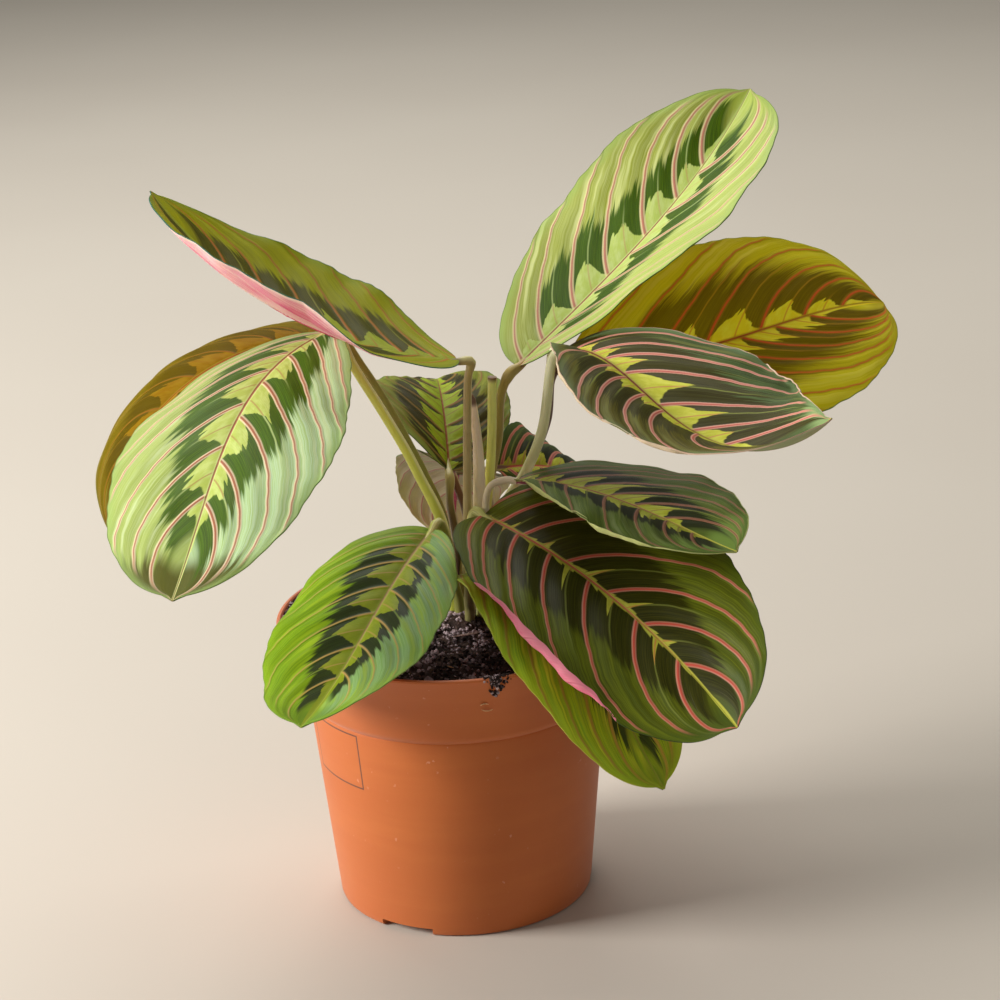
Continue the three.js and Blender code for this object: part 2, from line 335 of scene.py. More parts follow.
def innerRings():
    wall, ridge, rim = pot["wall"], pot["ridge"], pot["rim"]
    crease, top = pot["ridgeHeight"], pot["height"]
    return [
        (rim - wall + 0.1, top), (rim - wall - 0.4, top - 0.3), (rim - wall - 0.7, top - 1.2),
        (ridge + 0.8 - wall, crease + 1.6), (ridge - wall, crease), (pot["foot"] - wall + 0.2, pot["floor"]),
    ]


def turnedSolid(name, rings):
    # a filled ring, extruded and scaled from each ring to the next
    radius, height = rings[0]
    bpy.ops.mesh.primitive_circle_add(
        vertices=pot["segments"], radius=radius * mm, fill_type="NGON", location=(0, 0, height * mm))
    solid = named(name)
    applyPlace(solid)
    startEdit(solid)
    for nextRadius, nextHeight in rings[1:]:
        upward = (0, 0, (nextHeight - height) * mm)
        bpy.ops.mesh.extrude_region_move(TRANSFORM_OT_translate={"value": upward})
        share = nextRadius / radius
        bpy.ops.transform.resize(value=(share, share, 1), center_override=(0, 0, nextHeight * mm))
        radius, height = nextRadius, nextHeight
    endEdit()
    return solid


def channelBlock(angle, skin, low):
    # a block that widens outwards, on the line of one drainage channel
    bpy.ops.mesh.primitive_cube_add(size=1)
    block = named("channelBlock")
    points = meshPoints(block)
    outward = points[:, 0] > 0
    half = np.where(outward, pot["channelHalfOuter"], pot["channelHalfInner"]) + skin
    points[:, 0] = np.where(outward, pot["foot"] + pot["channelReach"], pot["channelInner"] - skin)
    points[:, 1] = np.sign(points[:, 1]) * half
    points[:, 2] = np.where(points[:, 2] > 0, pot["channelHeight"] + skin, low)
    movePoints(block, points * mm)
    block.rotation_euler.z = math.radians(angle)
    applyPlace(block)
    return block


def cutWith(piece, tool, operation):
    modifier = piece.modifiers.new("cut", "BOOLEAN")
    modifier.operation = operation
    modifier.solver = "EXACT"
    modifier.object = tool
    applyModifiers(piece)
    bpy.data.objects.remove(tool)


def drainDrill(angle, place):
    across = onCircle(place, math.radians(angle))
    bpy.ops.mesh.primitive_cylinder_add(
        vertices=32, radius=pot["drainRadius"] * mm, depth=8 * mm, location=Vector((*across, 3)) * mm)
    return named("drainDrill")


def potMaterial():
    material, tree = startMaterial("terracottaPlastic", **{
        "Roughness": 0.52, "Specular IOR Level": 0.42, "Subsurface Weight": 0.06, "Subsurface Scale": 0.004,
        "Sheen Weight": 0.3, "Sheen Roughness": 0.6, "Sheen Tint": (1.0, 0.66, 0.58, 1.0)})
    place = objectPlace(tree)
    x, y, z = splitAxes(place)
    # moulding streaks run round the wall
    turn = calc("ARCTAN2", y, x)
    streaks = cloud(joinAxes(turn * 0.6, 0.0, z * 110.0), 1.0, 4.0)
    colour = blend(cloud(place, 22.0, 3.0), *pot["colours"])
    colour = blend(rise(streaks, 0.42, 0.75) * 0.3, colour, "#ca7028")
    # dusty splashes under the rim
    dusty = rise(cloud(place, 420.0), 0.7, 0.76) * rise(cloud(place, 60.0), 0.45, 0.62)
    colour = blend(dusty * 0.5, colour, "#d9a083")
    # the outline of the box, as the distance from its nearest side
    low, high = [math.radians(a - 360) for a in pot["boxAngles"]]
    bottom, top = [h * mm for h in pot["boxHeights"]]
    across = abs(turn - (low + high) / 2) - (high - low) / 2
    upward = abs(z - (bottom + top) / 2) - (top - bottom) / 2
    farthest = calc("MAXIMUM", across * pot["ridge"], upward * 1000.0)
    ring = fall(abs(farthest), pot["boxLine"], pot["boxLine"] * 1.8)
    outside = rise(calc("SQRT", x * x + y * y), (pot["foot"] + 3.5) * mm, (pot["foot"] + 3.8) * mm)
    colour = blend(ring * outside * 0.85, colour, "#40261c")
    return dress(material, colour, cloud(place, 900.0) * 0.35 + streaks, depth=0.1, strength=0.5)


def makePot():
    shell = turnedSolid("potShell", outerRings() + innerRings())
    for angle in pot["channelAngles"]:
        roof = channelBlock(angle, pot["floor"], pot["floor"] / 2)
        cutWith(roof, turnedSolid("potFilled", outerRings()), "INTERSECT")
        cutWith(shell, roof, "UNION")
    for angle in pot["channelAngles"]:
        cutWith(shell, channelBlock(angle, 0, -2), "DIFFERENCE")
        for place in pot["drainPlaces"]:
            cutWith(shell, drainDrill(angle, place), "DIFFERENCE")
    smoothShade(shell, 30)
    finishPiece(shell, "pot_plastic", ["pot"], potMaterial())


makePot()
print("pot made")

# the leaves; at: where stalk and blade meet; size: length, half widths left and right; heading, climb: at
# the base, the middle and the tip; roll: at the base and the tip; fold, curl: how the blade tips up from its
# midrib; foot, route, stalk: the way of the stalk and its radii
leaves = {
    "upright_right": dict(
        at=(25.5, 27, 177.5), size=(131, 40, 38.5), heading=(37, 30, 52), climb=(29, 37, 41), roll=(-5, 13),
        fold=15, curl=(-3, 3), foot=(12, 28.5), route=((14.3, 30, 134), (18, 30, 151), (19.5, 29.5, 166)),
        stalk=(1.9, 1.5)),
    "back_right": dict(
        at=(42, 30.5, 174), size=(129, 38, 38.5), heading=(-11, 21, 49), climb=(1, 8, -16), roll=(44, 39),
        fold=10, curl=(-13, -14), foot=(16, 28.5),
        route=((18, 30, 116), (22.5, 33, 130), (29, 33.5, 141), (35, 32, 156)), stalk=(1.8, 1.5)),
    "arched_right": dict(
        at=(40, 16, 185.5), size=(130, 39, 34.5), widest=0.58, heading=(-56, -59, -14), climb=(21, -15, 45),
        roll=(-2, 3), fold=24, curl=(-19, -17), foot=(15.5, 23.5),
        route=((17, 25, 116), (20.5, 28, 129), (26.5, 28.5, 138), (33, 24, 155)), stalk=(2, 1.6)),
    "side_right": dict(
        at=(23.5, 15, 141), size=(93, 29, 28), heading=(-24, -45, -57), climb=(6, -7, 1), roll=(-9, 10),
        fold=15, curl=(-18, -15), foot=(14, 18.5),
        route=((13.8, 18.5, 118), (12.6, 18, 130), (14.5, 16.5, 138.5)), stalk=(1.6, 0.95)),
    "front_right": dict(
        at=(11.5, 15, 129), size=(129, 38, 38.5), roundness=0.45, heading=(-51, -52, -56),
        climb=(-4, -18, -30), roll=(1, 47), fold=4, curl=(-12, 22), foot=(9.5, 14.5),
        route=((7, 14.3, 104), (6, 14.5, 116)), stalk=(1.7, 1.4)),
    "front_low": dict(
        at=(9, 6.5, 107.5), size=(116, 31, 29), heading=(-53, -55, -42), climb=(44, -35, -52),
        roll=(-11, 15), fold=7, curl=(-14, -12), foot=(5.5, 11), route=((5.3, 8, 101), (5.8, 4, 108.5)),
        stalk=(1.6, 1.4)),
    "front_left": dict(
        at=(-6, 10, 126.5), size=(103, 26.5, 32.5), tipEase=0.1, heading=(236, 246, 245),
        climb=(-18, -20, -6), roll=(-2, 9), fold=15, curl=(-25, -28), foot=(2, 16.5),
        route=((0.5, 15, 106), (-0.5, 14, 119)), stalk=(1.6, 1.4)),
    "hanging_left": dict(
        at=(-38.5, 28.5, 192), size=(131, 39, 41), tipEase=0.1, heading=(223, 252, 251),
        climb=(-6, -25, -32), roll=(11, 6), fold=5, curl=(-22, -21), foot=(0, 21),
        route=((-2.5, 21.5, 124), (-9.5, 23, 141), (-14, 24, 151), (-21, 26, 164), (-30, 28.5, 180)),
        stalk=(1.9, 1.5)),
    "behind_left": dict(
        at=(-39.5, 42.5, 187.5), size=(114, 34, 36), heading=(187, 200, 202), climb=(0, -37, -101),
        roll=(-9, -16), fold=7, curl=(-50, -59), foot=(-1, 25.5),
        route=((-2, 27.5, 123), (-8, 31, 139.5), (-12.5, 33.5, 149), (-19, 36.5, 162), (-27, 39.5, 175.5)),
        stalk=(1.6, 1.4)),
    "folded_left": dict(
        at=(5.5, 7.5, 186.5), size=(125, 36.5, 37.5), widest=0.46, heading=(190, 150, 147),
        climb=(10, 22, 48), roll=(8, 24), fold=7, curl=(29, 33), foot=(3.5, 22.5),
        route=((5.8, 20.5, 118), (6.6, 20, 135), (7.4, 17.5, 156), (8.5, 12.5, 178)), stalk=(1.6, 1.3)),
    "back_centre": dict(
        at=(1, 37, 138), size=(82, 26, 24.5), heading=(91, 93, 91), climb=(33, 7, -22), roll=(32, -8),
        fold=12, curl=(-15, -11), foot=(3.5, 29.5), route=((2, 31.5, 116), (0.5, 33, 128)),
        stalk=(1.5, 1.3)),
    "back_drooping": dict(
        at=(2.5, 41.5, 135.5), size=(68, 22.5, 19.5), heading=(83, 94, 102), climb=(-3, -42, -77),
        roll=(22, 1), fold=12, curl=(-16, -16), foot=(7.5, 32.5), route=((7.5, 34, 106), (5.5, 36.5, 124)),
        stalk=(1.5, 1.2)),
    "back_dark": dict(
        at=(18, 41, 136.5), size=(65, 23, 19.5), heading=(32, 33, 27), climb=(-4, -23, -34), roll=(55, -22),
        fold=8, curl=(-17, -16), foot=(12, 33), route=((13, 34.5, 110), (14.5, 36.5, 126)),
        stalk=(1.5, 1.2)),
}
blade = {
    "widest": 0.48, "roundness": 0.55, "tipEase": 0.04, "easeFrom": 0.55, "rows": 190, "columns": 104,
    "largeFrom": 100, "smallGrid": 0.75, "midribSteps": 60, "endHalf": 0.5, "thin": 0.32, "midribThick": 1.3,
    "ribThick": 0.28, "ribWidth": 0.7, "nose": 1.6, "noseWidth": 1.3, "foldEase": 1.2, "tipFrom": 4,
    "hemEase": 0.14, "quilt": 0.9, "ribRidge": 0.15, "ridgeWidth": 0.8, "midribGroove": 0.45,
    "grooveWidth": 1.4, "ripple": 0.7, "wobble": 0.012,
}
# the maps of a blade and what they hold
bladeMaps = (("ribs", "phase", "reach"), ("blade", "along", "off"), ("spacing", "perMm", "toMargin"))
# noise that is drawn out along the ribs: scale across and along them, detail, roughness
leafNoise = {
    "streaks": (26.0, 2.2, 3.0, 0.6), "fine": (75.0, 3.0, 2.0, 0.5), "wander": (6.0, 9.0, 3.0, 0.6),
    "jags": (8.0, 1.0, 1.0, 0.5), "broad": (4.0, 1.6, 2.0, 0.5),
}
# starts: where the seven lateral ribs of the left and of the right half leave the midrib, as shares of its
# length; sweep: how far they sweep towards the tip
ribs = {
    "early": 0.15, "late": 0.22, "edge": 0.02, "lengthen": 1.05, "baseGap": 0.1,
    "tipPart": 0.48, "tipHold": 0.06,
    "starts": ((0.02, 0.1, 0.21, 0.34, 0.48, 0.62, 0.76), (-0.01, 0.06, 0.15, 0.27, 0.41, 0.55, 0.69)),
    "sweep": (0.95, 0.9),
}
leafRibs = {
    "front_right": {"sweep": (0.89, 0.88), "starts": (
        (-0.02, 0.06, 0.155, 0.325, 0.485, 0.63, 0.79),
        (0, 0.05, 0.145, 0.27, 0.42, 0.605, 0.77))},
    "hanging_left": {"sweep": (1.09, 0.97), "starts": (
        (-0.02, 0.05, 0.147, 0.275, 0.417, 0.575, 0.715),
        (0, 0.05, 0.13, 0.22, 0.366, 0.526, 0.693))},
    "upright_right": {"sweep": (0.89, 0.95), "starts": (
        (0.02, 0.1, 0.223, 0.35, 0.498, 0.631, 0.75),
        (0, 0.08, 0.16, 0.29, 0.43, 0.58, 0.72))},
    "arched_right": {"sweep": (0.98, 0.49), "starts": (
        (0.06, 0.137, 0.2, 0.295, 0.461, 0.597, 0.707),
        (0.05, 0.14, 0.247, 0.316, 0.407, 0.488, 0.62))},
    "back_right": {"sweep": (0.96, 1.38), "starts": (
        (0.02, 0.136, 0.251, 0.377, 0.539, 0.68, 0.82),
        (0.03, 0.15, 0.29, 0.38, 0.475, 0.58, 0.697))},
    "front_left": {"sweep": (0.6, 0.76), "starts": (
        (0.02, 0.096, 0.185, 0.312, 0.444, 0.575, 0.71),
        (0.03, 0.089, 0.171, 0.295, 0.424, 0.588, 0.742))},
    "side_right": {"sweep": (1.3, 0.56), "starts": (
        (0, 0.069, 0.15, 0.262, 0.38, 0.494, 0.64),
        (0.02, 0.1, 0.208, 0.38, 0.53, 0.66, 0.79))},
}
# how a margin of the left or of the right half turns up: from, to (shares of the length), width, angle
hems = {
    "front_right": ((), ((0.25, 0.85, 4.8, 165),)),
    "arched_right": (((0.45, 0.97, 2.4, 150),), ((0.2, 0.8, 1.2, 110),)),
    "side_right": ((), ((0.02, 0.86, 1.2, 135),)),
}
# how much further the left or the right half tips up along its length: share of the length, angle
tips = {
    "front_right": (((0, 40), (0.1, 32), (0.3, 14), (0.5, 0), (1, 0)), ()),
    "folded_left": (((0, -20), (0.2, -16), (0.36, -2), (0.55, 0), (0.78, -4), (1, -8)), ()),
}


def smoothStep(value, low, high):
    share = ((value - low) / (high - low)).clip(0, 1)
    return share * share * (3 - 2 * share)


def hump(distance, width):
    return np.exp(-(distance / width) ** 2)


def through(values, along):
    # a smooth curve through the values at the base, the middle and the tip
    base, middle, tip = values
    rest = 1 - along
    return base * rest * (1 - 2 * along) + 4 * middle * along * rest + tip * along * (2 * along - 1)


def midribFrames(leaf, along):
    # direction of the midrib, of the blade's left side and of its upper face
    heading = np.radians(through(leaf["heading"], along))
    climb = np.radians(through(leaf["climb"], along))
    roll = np.radians(leaf["roll"][0] + (leaf["roll"][1] - leaf["roll"][0]) * along)[..., None]
    forward = np.stack([np.cos(climb) * np.cos(heading), np.cos(climb) * np.sin(heading), np.sin(climb)], -1)
    left = np.stack([-np.sin(heading), np.cos(heading), np.zeros_like(heading)], -1)
    up = np.cross(forward, left)
    return forward, np.cos(roll) * left + np.sin(roll) * up, np.cos(roll) * up - np.sin(roll) * left


def midribPoints(leaf, along):
    steps = blade["midribSteps"]
    middles = (np.arange(steps) + 0.5) / steps
    forward = midribFrames(leaf, middles)[0]
    track = np.vstack([[leaf["at"]], leaf["at"] + np.cumsum(forward, 0) * leaf["size"][0] / steps])
    stops = np.linspace(0, 1, steps + 1)
    return np.stack([np.interp(along, stops, track[:, axis]) for axis in range(3)], -1)


def bladeOutline(leaf, along):
    skew = math.log(0.5) / math.log(leaf.get("widest", blade["widest"]))
    ease = leaf.get("tipEase", blade["tipEase"]) * smoothStep(along, blade["easeFrom"], 1)
    return np.sin(np.pi * along ** skew).clip(0) ** (leaf.get("roundness", blade["roundness"]) - ease)


def ribPhase(leaf, name, along, reach, side):
    # a whole number on each lateral rib, counted from the blade's base
    own = leafRibs.get(name, ribs)
    base = np.where(along < leaf.get("widest", blade["widest"]), bladeOutline(leaf, along), 1)
    inner = reach * base
    sweep = ribs["early"] * inner + ribs["late"] * inner ** 2 + ribs["edge"] * reach ** 8
    sweep = sweep * own["sweep"][side]
    origin = (along - sweep) / (1 + ribs["lengthen"] * sweep)
    stops = own["starts"][side]
    phase = np.interp(origin, stops, range(len(stops)))
    phase = np.where(origin < stops[0], (origin - stops[0]) / ribs["baseGap"], phase)
    beyond = (origin - stops[-1]).clip(0)
    return phase + ribs["tipPart"] * (1 - np.exp(-beyond / ribs["tipHold"]))


def ribSpacing(points, phase):
    # ribs per mm along the surface
    down, over = np.gradient(points, axis=0), np.gradient(points, axis=1)
    phaseDown, phaseOver = np.gradient(phase)
    e, f, g = (down * down).sum(-1), (down * over).sum(-1), (over * over).sum(-1)
    squared = e * phaseOver ** 2 - 2 * f * phaseDown * phaseOver + g * phaseDown ** 2
    return np.sqrt((squared / (e * g - f * f).clip(1e-9)).clip(1e-6)).clip(0.02, 3.0)


def halfLean(name, leaf, side, along, out, width, seed):
    # how far one half tips up from the midrib's own plane, in radians
    bend = math.radians(leaf["curl"][side]) / leaf["size"][1 + side]
    lean = math.radians(leaf["fold"]) * (1 - np.exp(-out / blade["foldEase"])) + bend * out
    if tips.get(name, [(), ()])[side]:
        stops, angles = zip(*tips[name][side])
        lean = lean + np.radians(np.interp(along, stops, angles)) * smoothStep(out, 0, blade["tipFrom"])
    for start, end, hemWidth, angle in hems.get(name, [(), ()])[side]:
        ease = blade["hemEase"]
        window = smoothStep(along, start, start + ease) * (1 - smoothStep(along, end - ease, end))
        window = window * (0.93 + 0.07 * np.sin(40 * along + seed))
        inward = np.maximum(hemWidth * window, 0.05)
        window = smoothStep(window, 0, 0.3)
        lean = lean + math.radians(angle) * smoothStep(out, width - inward, width) * window
    return lean


def halfSheet(name, leaf, side, rows, count, seed):
    # one half of the blade, from its midrib out to its margin; side 0 is the left, side 1 the right
    sign = 1.0 - 2.0 * side
    even = np.linspace(0, 1, rows + 1)
    along = (0.5 * even + 0.25 * (1 - np.cos(np.pi * even)))[:, None]
    even = np.linspace(0, 1, count + 1)
    reach = (even - 0.5 * np.sin(2 * np.pi * even) / (2 * np.pi))[None, :]
    along, reach = np.broadcast_arrays(along, reach)
    waves = np.sin(17 * along + seed * sign) + 0.6 * np.sin(41 * along - seed * sign)
    wobble = 1 + blade["wobble"] * (waves + 0.35 * np.sin(113 * along + seed))
    width = np.maximum(leaf["size"][1 + side] * bladeOutline(leaf, along) * wobble, blade["endHalf"])
    out = reach * width
    lean = halfLean(name, leaf, side, along, out, width, seed)
    middle, step = (lean[:, 1:] + lean[:, :-1]) / 2, np.diff(out, axis=1)
    start = np.zeros((rows + 1, 1))
    sideways = np.hstack([start, np.cumsum(np.cos(middle) * step, axis=1)])
    lift = np.hstack([start, np.cumsum(np.sin(middle) * step, axis=1)])
    forward, left, up = midribFrames(leaf, along)
    points = midribPoints(leaf, along) + sign * sideways[..., None] * left + lift[..., None] * up
    normals = np.cos(lean)[..., None] * up - sign * np.sin(lean)[..., None] * left
    # the blade ends in a small nose
    nose = blade["nose"] * hump(out, blade["noseWidth"]) * smoothStep(along, 0.97, 1)
    points = points + nose[..., None] * forward
    phase = ribPhase(leaf, name, along, reach, side)
    perMm = ribSpacing(points, phase)
    ribDistance = np.abs(phase - np.round(phase)) / perMm
    ends = np.sin(np.pi * along).clip(0) ** 0.5
    ribShown = ((phase + 2.4) / 2.2).clip(0, 1) * (1 - 0.5 * reach)
    # relief: panels puff up between the ribs, and the margin ripples
    puff = blade["quilt"] * (0.5 - 0.5 * np.cos(2 * np.pi * phase)) * ends
    puff = puff * (reach * 3.5).clip(0, 1) * (1 - reach ** 4) * smoothStep(phase, -1, 0)
    ridge = blade["ribRidge"] * hump(ribDistance, blade["ridgeWidth"]) * ribShown * ends
    groove = -blade["midribGroove"] * hump(out, blade["grooveWidth"]) * (1 - along)
    ripple = np.sin(15 * along + 2.1 * seed * sign) + 0.6 * np.sin(33 * along + seed * sign)
    ripple = blade["ripple"] * reach ** 3 * ends * ripple
    points = points + (puff + ridge + groove + ripple)[..., None] * normals
    thick = blade["thin"] + (blade["midribThick"] - blade["thin"]) * hump(out, 1.0) * (1 - 0.8 * along)
    thick = thick + blade["ribThick"] * hump(ribDistance, blade["ribWidth"]) * ribShown * ends
    return {"points": points, "thick": thick, "along": along, "reach": reach, "phase": phase, "perMm": perMm,
            "off": sign * out, "toMargin": width - out}


def makeBlade(name, leaf, seed):
    scale = 1.0 if leaf["size"][0] > blade["largeFrom"] else blade["smallGrid"]
    rows, count = int(blade["rows"] * scale), int(blade["columns"] * scale / 2)
    left, right = [halfSheet(name, leaf, side, rows, count, seed) for side in (0, 1)]

    def joined(key):
        # columns run from the left margin over the midrib to the right margin
        return np.concatenate([left[key][:, ::-1], right[key][:, 1:]], axis=1)

    piece, column, row = addGrid(f"blade_{name}", 2 * count, rows)
    movePoints(piece, joined("points")[row, column] * mm)
    # maps: each face reads the values of its own half
    corners = clearMaps(piece)
    cornerRow, cornerColumn = row[corners], column[corners]
    onLeft = np.repeat(cornerColumn.reshape(-1, 4).mean(1) < count, 4)

    def onCorners(key):
        leftValue = left[key][cornerRow, (count - cornerColumn).clip(0)]
        return np.where(onLeft, leftValue, right[key][cornerRow, (cornerColumn - count).clip(0)])

    for mapName, first, second in bladeMaps:
        writeMap(piece, mapName, onCorners(first), onCorners(second))
    # thickness under the upper face, more under the ribs
    thick = joined("thick")[row, column]
    group = piece.vertex_groups.new(name="thickness")
    for index, weight in enumerate(thick / thick.max()):
        group.add([index], float(weight), "REPLACE")
    return piece, float(thick.max())


def thicken(piece, most):
    solid = piece.modifiers.new("thickness", "SOLIDIFY")
    solid.thickness = most * mm
    solid.offset = -1
    solid.vertex_group = "thickness"
    solid.material_offset = 1
    applyModifiers(piece)
    piece.vertex_groups.clear()
    smoothShade(piece, 50)


def readMaps(tree):
    return [value for held in bladeMaps for value in mapAxes(tree, held[0])]


def leafMaterial(name, look, roughness):
    return startMaterial(name, **{
        "Roughness": roughness, "Specular IOR Level": look["shine"], "Subsurface Weight": look["glow"],
        "Subsurface Scale": 0.002, "Subsurface Radius": (1.0, 0.92, 0.35)})


def ribMasks(look, along, phase, reach, perMm):
    # the distance from the nearest rib, and how much of the rib's core and of its paler edge shows
    distance = abs(phase - calc("ROUND", phase)) / perMm
    half = (1.15 - reach * 0.6) * look["ribWidth"]
    shown = rise(phase, -2.4, -0.3) * fall(reach, 0.93, 1.0)
    shown = shown * fall(along + reach * 0.3, 1.09, 1.2)
    core = fall(distance, half * 0.3, half * 0.7)
    edge = fall(distance, half * 0.85, half * 1.5)
    return distance, core * shown, edge * shown


def leafFace(name, look, seed):
    material, tree = leafMaterial(f"leafFace_{name}", look, look["roughness"])
    phase, reach, along, off, perMm, toMargin = readMaps(tree)
    side = rise(off, -0.001, 0.001)
    panel = calc("FLOOR", phase)
    place = phase - panel
    chance = addNode("ShaderNodeTexWhiteNoise", tree, noise_dimensions="2D")
    feed(chance.inputs["Vector"], joinAxes(panel + seed * 7.3, side * 5.0, 0.0))
    luck = Flow(chance.outputs["Value"])
    luckAgain = calc("FRACT", luck * 7.77)
    sideSeed = side * 4.0 + seed * 3.1
    streaks, fine, wander, jags, broad = [
        cloud(joinAxes(phase * across, reach * outward, sideSeed), 1.0, detail, roughness)
        for across, outward, detail, roughness in leafNoise.values()]
    # the lime feather along the midrib: a lobe in each panel, longest beside the rib below it
    growth = (0.5 + rise(place, 0.0, 0.22) * 0.5) * (1.0 - rise(place, 0.42, 0.98) * 0.85)
    lobe = growth * (1.0 - rise(phase, 2.0, 7.5) * 0.6) * look["lobe"]
    teeth = calc("FRACT", place * look["teeth"] + luck)
    lobe = lobe + teeth * growth * look["tooth"]
    spike = calc("MAXIMUM", 1.0 - abs(place - 0.46) / look["spikeWidth"], 0.0)
    lobe = lobe + spike * (luck + 0.4) * look["spike"]
    lobe = lobe + (wander - 0.5) * (growth * (look["lobe"] * 0.45))
    lobe = lobe * (0.85 + luckAgain * 0.3)
    atTip = fall(phase, 6.02, 6.4) * (1 - look["tipLobe"]) + look["tipLobe"]
    lobe = lobe * (rise(phase, -1.0, 0.6) * atTip)
    inLobe = fall(reach - lobe, -0.008, 0.008)
    # the dark blotch beyond it, with a feathered outer edge
    blotch = look["blotch"] - calc("MAXIMUM", phase - 2.0, 0.0) * look["blotchTaper"]
    for wave, share in ((luck, "blotchLuck"), (streaks, "feather"), (jags, "jags")):
        blotch = blotch + (wave - 0.5) * look[share]
    inBlotch = fall(reach - blotch, -0.6 * look["softness"], look["softness"])
    zone = rise(phase, look["blotchFrom"] - 0.3, look["blotchFrom"] + 0.1) * fall(phase, 6.36, 6.45)
    inBlotch = inBlotch * zone
    # colours, from the panel up to the ribs
    body = blend(rise(streaks, 0.36, 0.66), look["body"], look["bodyStreak"])
    body = blend(rise(fine, 0.5, 0.72) * 0.35, body, look["bodyPale"])
    if "bodyLeft" in look:
        leftBody = blend(rise(streaks, 0.36, 0.66), look["bodyLeft"], look["bodyLeftStreak"])
        body = blend(side, body, leftBody)
    body = blend(rise(broad, 0.5, 0.68) * look["patches"], body, look["bodyPale"])
    towardTip = rise(along + (broad - 0.5) * 0.16, look["endFrom"], look["endFrom"] + 0.07)
    endZone = calc("MAXIMUM", fall(phase, -1.2, 0.2), towardTip)
    body = blend(endZone * look["endDepth"], body, look["ends"])
    body = blend(fall(toMargin, 0.5, 5.0) * 0.55, body, look["nearMargin"])
    dark = blend(rise(fine, 0.35, 0.7), look["blotchColour"], look["blotchStreak"])
    colour = blend(inBlotch, body, dark)
    lime = blend(rise(wander, 0.35, 0.7), look["lobeColour"], look["lobeStreak"])
    colour = blend(inLobe, colour, lime)
    # a fine rib in the middle of each panel, and the main ribs
    between = abs(place - (0.42 + luckAgain * 0.14)) / perMm
    thread = fall(between, 0.12, 0.42) * fall(reach, luck * 0.6, luck * 0.6 + 0.25)
    thread = thread * (rise(phase, 0.0, 0.5) * fall(phase, 6.0, 6.3)) * look["thread"]
    colour = blend(thread, colour, blend(inLobe, look["threadColour"], look["rib"]))
    distance, core, edge = ribMasks(look, along, phase, reach, perMm)
    midHalf = (1.0 - along * 0.72) * look["midribWidth"]
    midCore = fall(abs(off), midHalf * 0.45, midHalf * 0.85)
    for share, layer in (
            (edge * look["edgeShare"], look["ribEdge"]),
            (core, blend(rise(reach, 0.2, 0.9), look["rib"], look["ribOuter"])),
            (fall(abs(off), midHalf, midHalf * 1.9) * 0.8, look["midribEdge"]),
            (midCore, blend(rise(along, 0.45, 0.95), look["midrib"], look["midribTip"])),
            (fall(toMargin, 0.1, 0.5), look["rim"])):
        colour = blend(share, colour, layer)
    # relief: raised ribs, fine lines between them
    height = fall(distance, 0.0, 1.1) + calc("SINE", phase * 130.0) * 0.035 + fine * 0.35 - midCore * 0.6
    return dress(material, colour, height, depth=0.22, strength=0.8)


def leafBack(name, look, seed):
    material, tree = leafMaterial(f"leafBack_{name}", look, 0.55)
    phase, reach, along, off, perMm, toMargin = readMaps(tree)
    streaks = cloud(joinAxes(phase * 20.0, reach * 2.0, seed), 1.0, 3.0, 0.6)
    flush = cloud(joinAxes(along * 5.0, off * 0.06, seed), 1.0)
    colour = blend(rise(flush, 0.3, 0.68), look["back"], look["backFlush"])
    distance, core, edge = ribMasks(look, along, phase, reach, perMm)
    midHalf = (1.0 - along * 0.7) * (look["midribWidth"] * 1.2)
    for share, layer in (
            (rise(streaks, 0.4, 0.7) * 0.45, "backPale"), (fall(toMargin, 0.3, 3.0) * 0.5, "backMargin"),
            (edge * 0.45, "backPale"), (core * 0.7, "backRib"),
            (fall(abs(off), midHalf, midHalf * 1.6), "backMidrib")):
        colour = blend(share, colour, look[layer])
    height = fall(distance, 0.0, 1.2) + calc("SINE", phase * 130.0) * 0.1
    return dress(material, colour, height, depth=0.2, strength=0.7)


plainLook = {
    "slot": "leaf_pale", "roughness": 0.46, "shine": 0.25, "glow": 0.2, "softness": 0.05, "teeth": 2.6,
    "lobe": 0.24, "tooth": 0.05, "spike": 0.05, "spikeWidth": 0.16, "blotch": 0.53, "blotchTaper": 0.05,
    "blotchLuck": 0.08, "feather": 0.16, "jags": 0.3, "blotchFrom": 1.0, "thread": 0.6, "tipLobe": 0.3,
    "endFrom": 0.9, "endDepth": 0.7, "edgeShare": 0.85, "ribWidth": 0.62, "midribWidth": 0.75,
    "patches": 0.6, "lobeColour": "#b3c850", "lobeStreak": "#c8da78", "blotchColour": "#324804",
    "blotchStreak": "#47640a", "body": "#b0bf78", "bodyStreak": "#90a648", "bodyPale": "#d0dca4",
    "ends": "#8c9a20", "nearMargin": "#8eaa5c", "rim": "#5a7436", "rib": "#a06a50", "ribOuter": "#b0846a",
    "ribEdge": "#dcc6a4", "midrib": "#8f5845", "midribEdge": "#c6d086", "midribTip": "#a3a25c",
    "threadColour": "#bccf86", "back": "#b9a48a", "backFlush": "#c98a94", "backPale": "#cfc4a4",
    "backMargin": "#a8a878", "backRib": "#b4566a", "backMidrib": "#b8607a",
}
darkLook = dict(
    plainLook, slot="leaf_dark", shine=0.16, glow=0.08, patches=0.35, lobeColour="#a9b02c",
    lobeStreak="#bcc648", blotchColour="#1c220a", blotchStreak="#2a3410", body="#2f3e0e",
    bodyStreak="#445a14", bodyPale="#54642a", ends="#44561c", nearMargin="#465c18", rim="#3c4c22",
    rib="#c0584a", ribOuter="#c06c56", ribEdge="#d28a72", midrib="#c96c54", midribEdge="#b4b044",
    midribTip="#b6ba44", threadColour="#8a9444", back="#d87c90", backFlush="#de5f80", backPale="#e4a09c",
    backMargin="#e88fa0", backRib="#c04a68")
